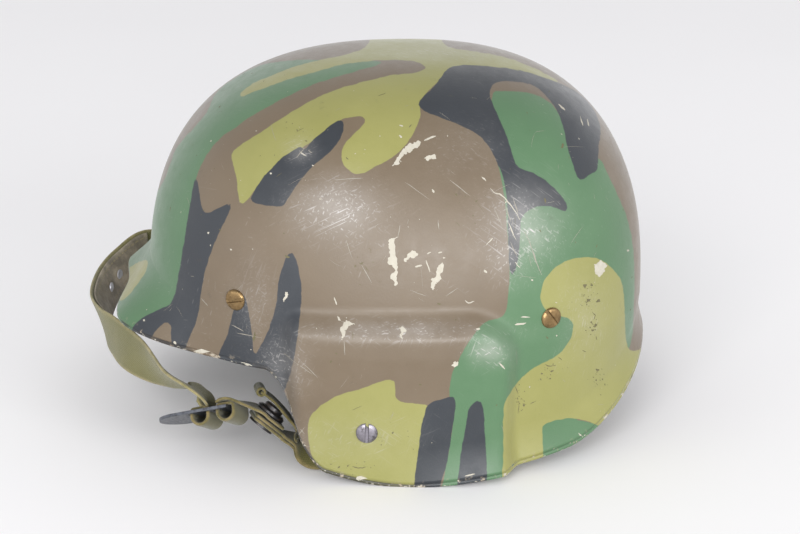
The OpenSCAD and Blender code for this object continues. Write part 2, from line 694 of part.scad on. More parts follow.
// Pull tab with a rolled end, over the snap fastener
tab_foot = bend_points[bends - 1];
tab_way = unit(left_points[bends] - bend_points[bends - 2]);
tab_up = -up_from(tab_way, bend_across[bends - 1]);
tab_gap = 2.2;
tab_root = tab_foot + tab_up * (anchor_strap_t / 2 + tab_gap + strap_t / 2);
tab_points = [
    tab_root, tab_root + tab_way * 3, pivot + [-34, -40, -5.5], pivot + [-36.5, -47.5, 3],
    pivot + [-37, -54.5, 8.5]];
tab_across = [
    bend_across[bends - 1], bend_across[bends - 1], [0.93, 0.1, 0.2], [0.93, 0.1, 0.3], [0.93, 0.1, 0.35]];
tab_w = anchor_strap_w - 2;
tab_roll_r = 2.8;
module pull_tab() place() color("olivedrab") {
    ribbon(spline(tab_points, 4), spline(tab_across, 4), tab_w, strap_t);
    station(tab_points[4], tab_points[4] - tab_points[3], tab_across[4])
        rotate([90, 0, 0]) cylinder(r = tab_roll_r, h = tab_w, center = true);
}

// Adjusters: steel plates with a round thumb end, two bars and a slot on each side of them
adjuster_slots = [[-3.5, 0], [5, 8.5], [10.8, 14.3]];
adjuster_end = [-23, 19.3];
adjuster_w = anchor_strap_w + 7;
module adjuster(side) sided(side) station(adjuster_at, adjuster_along, adjuster_across)
    translate([0, 0, -adjuster_t / 2]) linear_extrude(adjuster_t) difference() {
        union() {
            translate([adjuster_end[0] + adjuster_w / 2, 0]) circle(d = adjuster_w);
            translate([adjuster_end[0] + adjuster_w / 2, -adjuster_w / 2])
                square([adjuster_end[1] - adjuster_end[0] - adjuster_w / 2, adjuster_w]);
        }
        for (s = adjuster_slots) translate([s[0], -anchor_strap_w / 2 - 1])
            square([s[1] - s[0], anchor_strap_w + 2]);
    }
module adjuster_left() place() color("gray") adjuster(1);
module adjuster_right() place() color("gray") adjuster(-1);

// Webbing loops that hang from the bars of an adjuster
loop_centre_drop = 1.8;
module bar_loop(x) translate([x, 0, 0]) rotate([90, 0, 0]) {
    wide = bar_half + loop_gap;
    linear_extrude(anchor_strap_w, center = true) difference() {
        union() {
            translate([0, -loop_centre_drop]) circle(wide + strap_t);
            translate([-wide - strap_t, -loop_centre_drop])
                square([2 * (wide + strap_t), loop_centre_drop + loop_top]);
        }
        translate([0, -loop_centre_drop]) circle(wide);
        translate([-wide, -loop_centre_drop]) square([2 * wide, loop_centre_drop + loop_top - strap_t]);
    }
}
module adjuster_loops(side) sided(side) station(adjuster_at, adjuster_along, adjuster_across)
    for (x = [lower_bar, loop_bar]) bar_loop(x);
module adjuster_loops_left() place() color("olive") adjuster_loops(1);
module adjuster_loops_right() place() color("olive") adjuster_loops(-1);

// Chin strap around the front of the visor, from the left adjuster to the right one
function ahead(share_x, share_y, z) = [
    side_half * share_x, -front_half - visor_reach - strap_stand_off * share_y, brow_height + z];
function mirrored(v) = [-v.x, v.y, v.z];
strap_rise = [
    over_loop(lower_bar, strap_t), over_loop(lower_bar, strap_t) + adjuster_up * 4,
    adjuster_at + [-0.5, -7, 16]];
rise_across = [adjuster_across, adjuster_across, [0.93, 0, 0.37]];
front_points = [
    ahead(0.61, -1.6, -23.5), ahead(0.44, -0.47, -20), ahead(0.28, 0.24, -18), ahead(0.14, 0.7, -18),
    ahead(-0.07, 1, -17), ahead(-0.35, 0.9, -15), ahead(-0.54, 0.45, -11.5), ahead(-0.68, -0.35, -7),
    ahead(-0.75, -1.5, -14)];
front_across = [
    [0.78, 0.33, 0.53], [0.2, 0.5, 0.84], [0, 0.3, 0.95], [-0.1, 0.25, 0.96], [0, 0.05, 1],
    [0, -0.1, 1], [0, 0, 1], [-0.1, 0.1, 1], [-0.5, 0.2, 0.8]];
strap_points = concat(strap_rise, front_points, [for (k = [2, 1, 0]) mirrored(strap_rise[k])]);
strap_across = concat(rise_across, front_across, [for (k = [2, 1, 0]) mirrored(rise_across[k])]);
strap_steps = 6;
strap_path = spline(strap_points, strap_steps);
strap_turn = spline(strap_across, strap_steps);

// Lining on the inner face, and the rivets that hold it
lining_span = [6 * strap_steps, 10 * strap_steps];
lining_w = strap_w - 3;
rivet_points = [8 * strap_steps - 1, 8 * strap_steps + 3];
rivet_r = 1.6;
rivet_head_r = 3;
rivet_head_t = 0.8;
module at_strap(i) {
    d = tangent(strap_path, i);
    in_frame(strap_path[i], d, squared(strap_turn[i], d)) children();
}
module chin_strap() place() color("olive") difference() {
    ribbon(strap_path, strap_turn, strap_w, strap_t);
    for (i = rivet_points) at_strap(i) cylinder(r = rivet_r + play, h = 4 * strap_t, center = true);
}
module chin_lining() place() color("tan") difference() {
    span = [for (i = [lining_span[0] : lining_span[1]]) i];
    ribbon([for (i = span) strap_path[i]], [for (i = span) strap_turn[i]], lining_w, lining_t,
           (strap_t + lining_t) / 2 + soft_gap, true);
    for (i = rivet_points) at_strap(i) cylinder(r = rivet_r + play, h = 6 * strap_t, center = true);
}
module lining_rivets() place() color("silver") for (i = rivet_points) at_strap(i) {
    low = -strap_t / 2 - play;
    high = strap_t / 2 + soft_gap + lining_t + 2 * play;
    translate([0, 0, low]) cylinder(r = rivet_r, h = high - low);
    translate([0, 0, low - rivet_head_t]) cylinder(r = rivet_head_r, h = rivet_head_t);
    translate([0, 0, high]) cylinder(r = rivet_head_r, h = rivet_head_t);
}

shell();
edge_trim();
suspension_screws();
suspension_nuts();
suspension_hangers();
suspension_band();
crown_strap_front_left();
crown_strap_front_right();
crown_strap_left();
crown_strap_right();
crown_strap_rear_left();
crown_strap_rear_right();
crown_cord();
headband();
headband_clips();
size_strap();
size_buckle();
chin_screws();
chin_nuts();
anchor_plate_left();
anchor_plate_right();
anchor_strap_left();
anchor_strap_right();
snap_stud();
snap_cap();
snap_strap();
pull_tab();
adjuster_left();
adjuster_right();
adjuster_loops_left();
adjuster_loops_right();
chin_strap();
chin_lining();
lining_rivets();
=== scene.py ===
import math

import bpy
import numpy as np
from mathutils import Matrix, Vector
from mathutils.bvhtree import BVHTree
from mathutils.geometry import tessellate_polygon


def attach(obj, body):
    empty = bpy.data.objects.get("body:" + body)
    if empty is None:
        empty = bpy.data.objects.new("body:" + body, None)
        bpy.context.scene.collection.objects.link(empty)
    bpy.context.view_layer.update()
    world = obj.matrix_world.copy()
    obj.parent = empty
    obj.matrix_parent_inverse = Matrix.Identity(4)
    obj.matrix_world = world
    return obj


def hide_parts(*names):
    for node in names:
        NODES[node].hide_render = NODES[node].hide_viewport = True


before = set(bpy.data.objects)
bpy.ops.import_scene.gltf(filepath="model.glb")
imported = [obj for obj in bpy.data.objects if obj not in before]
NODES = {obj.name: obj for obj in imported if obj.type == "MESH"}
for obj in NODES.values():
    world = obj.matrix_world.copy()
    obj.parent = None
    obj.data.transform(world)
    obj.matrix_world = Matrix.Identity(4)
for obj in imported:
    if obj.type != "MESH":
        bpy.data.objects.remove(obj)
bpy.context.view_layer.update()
MM = 0.001
RNG = np.random.default_rng(7)

# Sizes of the shell in millimetres, in the helmet's own frame
FRONT_HALF = 137.0
REAR_HALF = 127.5
SIDE_HALF = 114.0
PLAN_POWER = 2.4
DOME_POWER = 2.6
CROWN_HEIGHT = 197.0
EQUATOR = 72.0
WALL_TAPER = 0.09
SHELL_T = 9.0
BROW_HEIGHT = 68.0
TEMPLE_HEIGHT = 58.5
TEMPLE_ANGLE = 54.0
EAR_ANGLE = 70.0
EAR_CORNER_HEIGHT = 6.5
NECK_HEIGHT = 10.0
NECK_ANGLE = 130.0
NAPE_HEIGHT = 46.0
NECK_POWER = 1.2
NAPE_POWER = 1.5
TRIM_T = 2.4
REST_CUT = 1.0
VISOR_REACH = 15.0
VISOR_CORNER_REACH = 26.0
VISOR_CORNER_ANGLE = 22.0
VISOR_ANGLE = 46.0
VISOR_SWEEP = 26.0
VISOR_FADE = 32.0
VISOR_POWER = 1.4
FLARE_REACH = 6.0
FLARE_SWEEP = 22.0
FLARE_ANGLE = 70.0
FLARE_FADE = 40.0
FLARE_POWER = 1.6
EAR_OUT = 9.0
EAR_TOP = 95.0
EAR_MIDDLE = 88.0
EAR_HALF_LENGTH = 60.0
EAR_FRONT_RADIUS = 12.0
EAR_REAR_RADIUS = 28.0
EAR_SLOPE = 14.0
STRAP_STAND_OFF = 15.0
DOME_HEIGHT = CROWN_HEIGHT - EQUATOR
# Step in degrees and in millimetres over which the wall's direction is measured
NORMAL_STEP = 0.5


def ramp(t):
    u = np.clip(t, 0, 1)
    return u * u * (3 - 2 * u)


def mix(a, b, t):
    return a + (b - a) * t


def plan(a):
    c = np.abs(np.cos(a)) / np.where(np.cos(a) > 0, FRONT_HALF, REAR_HALF)
    s = np.abs(np.sin(a)) / SIDE_HALF
    return (c**PLAN_POWER + s**PLAN_POWER) ** (-1 / PLAN_POWER)


def rim(degrees):
    a = np.abs(degrees)
    brow = mix(BROW_HEIGHT, TEMPLE_HEIGHT, ramp(a / TEMPLE_ANGLE))
    drop = mix(TEMPLE_HEIGHT, EAR_CORNER_HEIGHT, ramp((a - TEMPLE_ANGLE) / (EAR_ANGLE - TEMPLE_ANGLE)))
    ear = EAR_CORNER_HEIGHT * (np.clip(90 - a, 0, 90) / (90 - EAR_ANGLE)) ** 2
    neck = NECK_HEIGHT * (np.clip(a - 90, 0, 90) / (NECK_ANGLE - 90)) ** NECK_POWER
    span = 180 - NECK_ANGLE
    turn = np.clip(a - NECK_ANGLE, 0, span) / span
    nape = mix(NECK_HEIGHT, NAPE_HEIGHT, np.sin(np.pi / 2 * turn) ** NAPE_POWER)
    spans = [a < TEMPLE_ANGLE, a < EAR_ANGLE, a < 90, a < NECK_ANGLE]
    return np.select(spans, [brow, drop, ear, neck], nape)


def dome_share(z):
    h = (z - EQUATOR) / DOME_HEIGHT
    top = np.clip(1 - np.clip(h, 0, 1) ** DOME_POWER, 0, 1) ** (1 / DOME_POWER)
    return np.where(h > 0, top, 1 + WALL_TAPER * h)


def ear_distance(degrees, z):
    along = (np.abs(degrees) - EAR_MIDDLE) * SIDE_HALF * np.pi / 180
    r = np.where(along > 0, EAR_REAR_RADIUS, EAR_FRONT_RADIUS)
    qx = np.abs(along) - EAR_HALF_LENGTH + r
    qz = z - EAR_TOP + r
    return np.hypot(np.maximum(qx, 0), np.maximum(qz, 0)) + np.minimum(np.maximum(qx, qz), 0) - r


def base_radius(degrees, z):
    return plan(np.radians(degrees)) * dome_share(z)


def shell_radius(degrees, z):
    a = np.abs(degrees)
    up = z - rim(a)
    visor = mix(VISOR_REACH, VISOR_CORNER_REACH, ramp(a / VISOR_CORNER_ANGLE))
    visor = visor * ramp((VISOR_ANGLE - a) / VISOR_FADE)
    flare = FLARE_REACH * ramp((a - FLARE_ANGLE) / FLARE_FADE)
    return (
        base_radius(degrees, z)
        + EAR_OUT * ramp(-ear_distance(a, z) / EAR_SLOPE)
        + visor * np.clip(1 - up / VISOR_SWEEP, 0, 1) ** VISOR_POWER
        + flare * np.clip(1 - up / FLARE_SWEEP, 0, 1) ** FLARE_POWER
    )


def around(degrees, r, z):
    t = np.radians(degrees)
    return np.stack([r * np.sin(t), -r * np.cos(t), z + 0 * r], -1)


def unit(v):
    return v / np.linalg.norm(v, axis=-1, keepdims=True)


def outer_point(degrees, z):
    return around(degrees, shell_radius(degrees, z), z)


def base_point(degrees, z):
    return around(degrees, base_radius(degrees, z), z)


def base_normal(degrees, z):
    high, low = np.minimum(z + NORMAL_STEP, CROWN_HEIGHT), z - NORMAL_STEP
    d_angle = base_point(degrees + NORMAL_STEP, z) - base_point(degrees - NORMAL_STEP, z)
    d_up = base_point(degrees, high) - base_point(degrees, low)
    return unit(np.cross(d_angle, d_up))


def inner_point(degrees, z):
    return outer_point(degrees, z) - SHELL_T * base_normal(degrees, z)


# The shared frame is the helmet's own frame, moved by these amounts
REAR_REACH = REAR_HALF * float(dome_share(np.array(NAPE_HEIGHT))) + FLARE_REACH
ORIGIN_Y = (FRONT_HALF + VISOR_REACH + STRAP_STAND_OFF - REAR_REACH) / 2
SHIFT = np.array([0, ORIGIN_Y, -REST_CUT])


def placed(points):
    return (np.asarray(points) + SHIFT) * MM


# The camera, fitted to the photographed outline
CAM_ELEVATION = math.radians(19.9)
CAM_AZIMUTH = math.radians(1.6)
CAM_DISTANCE = 1200.0
CAM_FOCAL_PX = 2200.0
CAM_TARGET = np.array([0, -2.1, 76.2])
CAM_BACK = np.array([
    math.cos(CAM_AZIMUTH) * math.cos(CAM_ELEVATION),
    -math.sin(CAM_AZIMUTH) * math.cos(CAM_ELEVATION),
    math.sin(CAM_ELEVATION),
])
CAM_RIGHT = np.array([math.sin(CAM_AZIMUTH), math.cos(CAM_AZIMUTH), 0])
CAM_UP = np.cross(CAM_BACK, CAM_RIGHT)
CAM_AT = CAM_TARGET + CAM_BACK * CAM_DISTANCE
VIEW_W, VIEW_H = 800, 534


def to_view(points):
    d = np.asarray(points) - CAM_AT
    depth = -(d @ CAM_BACK)
    u = VIEW_W / 2 + CAM_FOCAL_PX * (d @ CAM_RIGHT) / depth
    v = VIEW_H / 2 - CAM_FOCAL_PX * (d @ CAM_UP) / depth
    return np.stack([u, v], -1)


def view_ray(u, v):
    right, down = (u - VIEW_W / 2) / CAM_FOCAL_PX, (v - VIEW_H / 2) / CAM_FOCAL_PX
    return unit(-CAM_BACK + CAM_RIGHT * right - CAM_UP * down)


# Camouflage patches of the near side, in the view's pixels
NEAR_GREEN = [
    [(384, 61), (362, 60), (340, 60), (310, 60), (292, 60), (262, 64), (240, 74), (215, 92), (208, 112),
     (194, 128), (182, 140), (172, 156), (166, 180), (150, 200), (130, 240), (115, 300), (112, 334),
     (134, 338), (146, 330), (156, 321), (168, 314), (178, 308), (184, 290), (190, 240), (194, 200),
     (196, 178), (201, 164), (209, 151), (220, 138), (232, 130), (245, 120), (262, 110), (280, 100),
     (300, 90), (320, 82), (340, 76), (360, 70), (376, 66)],
    [(491, 92), (500, 91), (515, 91), (530, 93), (542, 97), (553, 104), (562, 120), (580, 150),
     (600, 158), (606, 170), (614, 187), (622, 204), (629, 223), (633, 245), (635, 275), (634, 310),
     (632, 338), (628, 351), (615, 380), (590, 400), (520, 490), (440, 494), (444, 478), (447, 462),
     (450, 444), (453, 425), (455, 408), (449, 398), (450, 385), (452, 373), (458, 362), (462, 353),
     (467, 344), (474, 335), (479, 327), (486, 321), (498, 319), (505, 314), (508, 303), (509, 285),
     (510, 268), (508, 240), (506, 210), (500, 170), (490, 130)],
    [(543, 430), (544, 425), (555, 421), (570, 419), (585, 421), (598, 425), (606, 430), (596, 448),
     (580, 460), (556, 474), (545, 472), (544, 450)],
]
NEAR_YELLOW = [
    [(230, 153), (245, 142), (262, 132), (275, 122), (300, 107), (320, 96), (340, 88), (360, 83),
     (385, 76), (400, 74), (415, 73), (424, 70), (426, 66), (416, 61), (400, 60), (380, 60), (360, 62),
     (340, 65), (322, 70), (300, 76), (280, 82), (258, 90), (240, 98), (240, 92), (255, 82), (275, 74),
     (295, 66), (320, 60), (345, 55), (368, 48), (372, 30), (440, 30), (442, 44), (455, 49), (480, 52),
     (505, 57), (525, 64), (545, 73), (562, 83), (545, 80), (525, 73), (505, 69), (485, 66), (460, 65),
     (450, 68), (444, 74), (439, 81), (431, 88), (424, 95), (419, 103), (421, 112), (419, 122),
     (413, 135), (402, 150), (390, 159), (375, 167), (362, 174), (354, 174), (346, 168), (341, 160),
     (341, 152), (346, 142), (354, 134), (362, 127), (366, 120), (362, 116), (350, 117), (340, 120),
     (328, 128), (314, 140), (300, 149), (286, 158), (272, 170), (259, 184), (250, 197), (240, 207),
     (238, 195), (237, 180), (234, 166)],
    [(541, 303), (540, 294), (543, 282), (549, 273), (558, 265), (570, 259), (585, 257), (598, 258),
     (608, 264), (616, 272), (622, 282), (624, 295), (625, 320), (626, 342), (630, 352), (642, 349),
     (660, 350), (655, 410), (608, 432), (598, 425), (585, 420), (570, 418), (555, 420), (544, 424),
     (542, 430), (543, 450), (544, 474), (505, 486), (502, 478), (503, 460), (504, 440), (503, 420),
     (504, 405), (508, 396), (516, 384), (525, 374), (535, 367), (547, 361), (557, 356), (565, 348),
     (571, 338), (574, 327), (572, 321), (566, 317), (556, 315), (547, 311)],
    [(308, 425), (309, 417), (318, 408), (330, 399), (345, 393), (362, 389), (378, 382), (388, 379),
     (395, 380), (395, 390), (396, 400), (405, 403), (420, 404), (430, 405), (426, 430), (422, 460),
     (420, 494), (380, 494), (336, 484), (320, 474), (312, 458), (308, 442)],
    [(149, 258), (146, 272), (138, 284), (128, 296), (118, 303), (116, 288), (124, 272), (134, 264)],
]
NEAR_DARK = [
    [(196, 174), (199, 190), (201, 205), (204, 214), (214, 211), (224, 205), (232, 203), (230, 212),
     (222, 226), (216, 240), (208, 260), (203, 280), (200, 300), (197, 320), (190, 335), (184, 353),
     (172, 352), (171, 337), (171, 325), (167, 322), (160, 326), (153, 334), (146, 346), (132, 336),
     (131, 328), (140, 320), (150, 313), (165, 307), (173, 302), (177, 285), (181, 260), (186, 230),
     (190, 205), (192, 190)],
    [(342, 119), (344, 127), (341, 138), (332, 150), (320, 160), (309, 170), (302, 178), (296, 186),
     (290, 196), (285, 204), (280, 207), (268, 206), (258, 204), (250, 201), (252, 195), (258, 184),
     (266, 174), (275, 165), (284, 156), (294, 150), (300, 146), (304, 150), (308, 146), (314, 139),
     (325, 130), (333, 123)],
    [(418, 103), (425, 95), (434, 87), (441, 77), (447, 69), (456, 65), (480, 65), (505, 68), (525, 71),
     (545, 78), (562, 84), (578, 92), (590, 104), (598, 116), (601, 130), (599, 145), (598, 160),
     (597, 172), (590, 174), (580, 182), (575, 172), (570, 156), (566, 140), (562, 122), (556, 108),
     (549, 99), (541, 90), (530, 84), (515, 81), (500, 81), (492, 85), (489, 92), (492, 102), (497, 113),
     (503, 126), (508, 140), (513, 155), (517, 168), (526, 170), (538, 175), (550, 184), (560, 194),
     (567, 203), (567, 212), (558, 209), (548, 206), (538, 206), (528, 210), (521, 217), (520, 235),
     (519, 255), (516, 270), (513, 278), (510, 273), (509, 255), (508, 235), (508, 215), (507, 200),
     (504, 180), (500, 168), (495, 158), (488, 145), (480, 136), (468, 129), (455, 123), (440, 117),
     (425, 112), (420, 108)],
    [(427, 405), (435, 401), (445, 398), (453, 396), (456, 401), (455, 412), (452, 430), (450, 445),
     (448, 458), (445, 470), (441, 482), (440, 496), (413, 496), (415, 478), (417, 460), (419, 445),
     (421, 430), (424, 417)],
    [(468, 410), (472, 405), (478, 400), (482, 402), (484, 415), (485, 435), (486, 455), (487, 470),
     (486, 496), (456, 496), (458, 478), (460, 460), (463, 440), (466, 424)],
    [(216, 364), (221, 348), (227, 336), (230, 325), (233, 312), (237, 301), (241, 292), (246, 299),
     (249, 312), (251, 328), (253, 345), (254, 357), (260, 347), (268, 331), (274, 315), (277, 300),
     (278, 285), (281, 270), (286, 257), (291, 251), (296, 258), (299, 270), (301, 285), (302, 300),
     (300, 315), (298, 332), (296, 348), (293, 362), (290, 376), (285, 389), (281, 404), (262, 390),
     (240, 376)],
]

# Patches of the far side, in the same pixels, as they would show through the helmet
FAR_GREEN = [
    [(110, 340), (112, 300), (130, 240), (150, 200), (166, 178), (172, 156), (195, 150), (222, 165),
     (230, 200), (216, 240), (200, 290), (190, 340), (160, 350)],
    [(215, 92), (240, 70), (292, 58), (302, 72), (290, 95), (266, 116), (240, 128), (220, 116)],
    [(400, 250), (412, 226), (430, 208), (452, 200), (470, 186), (480, 168), (494, 158), (508, 168),
     (512, 190), (524, 208), (542, 222), (552, 244), (548, 268), (556, 292), (552, 318), (536, 334),
     (516, 330), (506, 346), (498, 372), (504, 396), (516, 420), (514, 450), (504, 480), (480, 492),
     (474, 462), (464, 436), (466, 404), (474, 376), (470, 350), (456, 330), (462, 306), (452, 286),
     (432, 276), (414, 268)],
    [(318, 262), (326, 240), (334, 222), (350, 206), (372, 196), (392, 182), (404, 188), (398, 206),
     (392, 224), (404, 240), (416, 262), (408, 284), (392, 276), (376, 262), (362, 270), (352, 290),
     (338, 300), (322, 288)],
    [(232, 340), (246, 322), (262, 310), (276, 318), (274, 340), (284, 362), (280, 392), (286, 416),
     (276, 440), (262, 444), (252, 420), (256, 396), (242, 378), (230, 362)],
    [(588, 120), (606, 150), (622, 190), (634, 236), (626, 262), (612, 240), (604, 206), (594, 176),
     (584, 148)],
]
FAR_YELLOW = [
    [(368, 44), (372, 28), (440, 28), (448, 60), (444, 90), (430, 112), (410, 124), (398, 144),
     (376, 160), (352, 170), (330, 164), (314, 178), (298, 180), (296, 162), (312, 146), (330, 136),
     (340, 112), (352, 98), (358, 70)],
    [(642, 349), (662, 350), (655, 410), (606, 434), (584, 420), (560, 430), (536, 410), (528, 384),
     (540, 360), (560, 352), (574, 330), (594, 318), (618, 332)],
    [(290, 330), (304, 308), (324, 300), (340, 280), (360, 276), (382, 290), (404, 296), (420, 316),
     (418, 340), (404, 356), (410, 380), (398, 404), (376, 408), (362, 428), (348, 452), (334, 482),
     (310, 480), (290, 470), (284, 440), (290, 414), (282, 388), (288, 358)],
    [(556, 214), (570, 198), (590, 192), (606, 212), (610, 240), (602, 262), (590, 284), (574, 276),
     (566, 254), (552, 238)],
]
FAR_DARK = [
    [(240, 186), (252, 166), (272, 150), (292, 156), (310, 172), (318, 194), (306, 214), (292, 226),
     (290, 248), (272, 262), (262, 282), (256, 306), (246, 330), (236, 352), (212, 356), (204, 334),
     (214, 308), (222, 284), (230, 260), (226, 238), (236, 216)],
    [(455, 92), (474, 74), (520, 80), (560, 104), (586, 146), (592, 186), (574, 200), (550, 184),
     (532, 154), (510, 140), (494, 146), (478, 160), (460, 176), (442, 184), (436, 172), (448, 158),
     (462, 142), (470, 124)],
    [(424, 404), (440, 390), (456, 394), (460, 412), (452, 434), (458, 462), (452, 496), (424, 498),
     (418, 470), (424, 442), (416, 420)],
    [(130, 300), (150, 270), (166, 262), (172, 284), (160, 316), (140, 340), (128, 330)],
    [(540, 60), (575, 78), (606, 104), (616, 140), (608, 170), (596, 178), (588, 160), (576, 134),
     (560, 114), (544, 102), (526, 94), (516, 80), (520, 62)],
    [(540, 330), (556, 312), (566, 292), (584, 286), (602, 292), (600, 308), (584, 318), (570, 334),
     (552, 344)],
    [(340, 334), (350, 316), (364, 316), (372, 334), (366, 356), (372, 380), (362, 404), (350, 396),
     (352, 372), (340, 354)],
]


# How often the corners of an outline are cut, and how far round it depths are measured, in pixels
CORNER_ROUNDS, PATCH_MARGIN = 2, 12


def smooth_loop(points):
    p = np.array(points, float)
    for _ in range(CORNER_ROUNDS):
        q = np.roll(p, -1, 0)
        p = np.stack([p * 0.75 + q * 0.25, p * 0.25 + q * 0.75], 1).reshape(-1, 2)
    return p


def signed_distance(points, loop):
    best = np.full(len(points), 1e9)
    inside = np.zeros(len(points), bool)
    for p, q in zip(loop, np.roll(loop, -1, 0)):
        d = q - p
        t = np.clip(((points - p) @ d) / max(d @ d, 1e-9), 0, 1)
        best = np.minimum(best, np.linalg.norm(points - p - t[:, None] * d, axis=1))
        crosses = (p[1] > points[:, 1]) != (q[1] > points[:, 1])
        with np.errstate(divide="ignore", invalid="ignore"):
            x = p[0] + (points[:, 1] - p[1]) * d[0] / d[1]
        inside ^= crosses & (points[:, 0] < x)
    return np.where(inside, best, -best)


def patch_depth(points, near_side, near, far):
    """How deep in a patch each point lies, in pixels, below zero outside. Each side has its own patches."""
    seen = to_view(points)
    out = np.full(len(points), -float(PATCH_MARGIN))
    for loops, where in ((near, near_side), (far, ~near_side)):
        for loop in loops:
            shape = smooth_loop(loop)
            low, high = shape.min(0) - PATCH_MARGIN, shape.max(0) + PATCH_MARGIN
            pick = where & (seen >= low).all(1) & (seen <= high).all(1)
            if pick.any():
                out[pick] = np.maximum(out[pick], signed_distance(seen[pick], shape))
    return np.clip(out, -PATCH_MARGIN, PATCH_MARGIN)


# Rubbed places with a painted sheen and painted highlights (the broad sheen patches, the ear ridge's band,
# the knob's glint, the crown's edge), each with its middle and half sizes in the same pixels and its
# strength
NEAR_WORN_AND_SHEEN = [
    (336, 208, 36, 26, 1.0), (524, 224, 34, 34, 1.0), (510, 252, 22, 26, 0.7), (284, 366, 22, 26, 0.6),
    (396, 331, 84, 10, 0.85), (490, 351, 18, 14, 0.95), (585, 320, 24, 44, 0.35), (440, 52, 80, 10, 0.5),
    (300, 150, 14, 12, 0.6), (255, 300, 20, 40, 0.25), (350, 440, 60, 20, 0.25), (470, 150, 40, 30, 0.2),
]
FAR_WORN_AND_SHEEN = [
    (430, 160, 44, 34, 0.8), (300, 220, 36, 34, 0.8), (560, 320, 40, 34, 0.6), (400, 331, 90, 9, 0.6),
    (240, 330, 26, 30, 0.5), (480, 420, 40, 26, 0.4),
]


# Share at each point of the rubbed places, which carry a painted sheen and painted highlights
def worn_and_sheen(points, near_side):
    view = to_view(points)
    out = np.zeros(len(points))
    for places, share in ((NEAR_WORN_AND_SHEEN, near_side), (FAR_WORN_AND_SHEEN, ~near_side)):
        for u, v, wide, high, strength in places:
            far = ((view[:, 0] - u) / wide) ** 2 + ((view[:, 1] - v) / high) ** 2
            out = np.maximum(out, strength * np.exp(-far) * share)
    return out


def vertex_values(mesh, name, values):
    mesh.attributes.new(name, "FLOAT", "POINT").data.foreach_set("value", np.asarray(values, np.float32))


def add_camouflage(mesh, points, normals):
    near_side = ((CAM_AT - points) * normals).sum(1) > 0
    # the rubbed places with their painted sheen and highlights
    vertex_values(mesh, "worn_and_sheen", worn_and_sheen(points, near_side))
    for name, near, far in (
        ("green", NEAR_GREEN, FAR_GREEN),
        ("yellow", NEAR_YELLOW, FAR_YELLOW),
        ("dark", NEAR_DARK, FAR_DARK),
    ):
        vertex_values(mesh, name, patch_depth(points, near_side, near, far))


# Edges sharper than this stay sharp on the screws
SHARP_ANGLE = math.radians(35)


def new_object(name, vertices, faces, body, replaced, smooth=True):
    mesh = bpy.data.meshes.new(name)
    mesh.from_pydata([tuple(v) for v in vertices], [], [tuple(f) for f in faces])
    mesh.update()
    mesh.polygons.foreach_set("use_smooth", [True] * len(mesh.polygons))
    if not smooth:
        mesh.set_sharp_from_angle(angle=SHARP_ANGLE)
    obj = bpy.data.objects.new(name, mesh)
    bpy.context.scene.collection.objects.link(obj)
    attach(obj, body)
    if replaced:
        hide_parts(*replaced)
    return obj


# Fine shell: rows from the crown to the edge trim, columns round the helmet
COLUMNS = 440
DOME_ROWS = 68
WALL_ROWS = 58
INNER_STEP = 4
SPLIT_HEIGHT = 100.0
# Height above the rim given to points inside the shell, which keeps them clear of the rim's wear
FAR_FROM_RIM = 99.0


def shell_heights(degrees):
    k = np.arange(1, DOME_ROWS + 1) / DOME_ROWS
    dome = mix(SPLIT_HEIGHT, CROWN_HEIGHT, np.cos(np.pi / 2 * k) ** (2 / DOME_POWER))
    dome = np.repeat(dome[:, None], len(degrees), 1)
    t = (np.arange(1, WALL_ROWS + 1) / WALL_ROWS)[:, None]
    wall = SPLIT_HEIGHT + (rim(degrees) + TRIM_T - SPLIT_HEIGHT)[None, :] * t
    return np.concatenate([dome, wall])


def ring_degrees():
    degrees = (np.arange(COLUMNS) / COLUMNS) * 360.0
    return np.where(degrees > 180, degrees - 360, degrees)


def grid_faces(rows, columns, start=0, flip=False, closed=False):
    """Quads between rows of points, each row a ring. A closed grid joins its last row to its first."""
    faces = []
    for i in range(rows if closed else rows - 1):
        here, after = start + i * columns, start + (i + 1) % rows * columns
        for j in range(columns):
            k = (j + 1) % columns
            a, b, c, d = here + j, here + k, after + k, after + j
            faces.append((a, b, c, d) if flip else (a, d, c, b))
    return faces


def swept_faces(rows, columns, flip=False, closed=False):
    """The quads of a swept outline, with a cap on each end of an open one."""
    faces = grid_faces(rows, columns, 0, flip, closed)
    if not closed:
        first, last = tuple(range(columns)), tuple(range((rows - 1) * columns, rows * columns))
        faces += [first[::-1], last] if flip else [first, last[::-1]]
    return faces


def turned_over(faces):
    return [f[::-1] for f in faces]


def facing_out(points, faces):
    """The faces, turned over if most of them look inward."""
    a, b, c = (points[[f[q] for f in faces]] for q in (0, 1, 2))
    inward = (np.cross(b - a, c - a) * (a - points.mean(0))).sum() < 0
    return turned_over(faces) if inward else faces


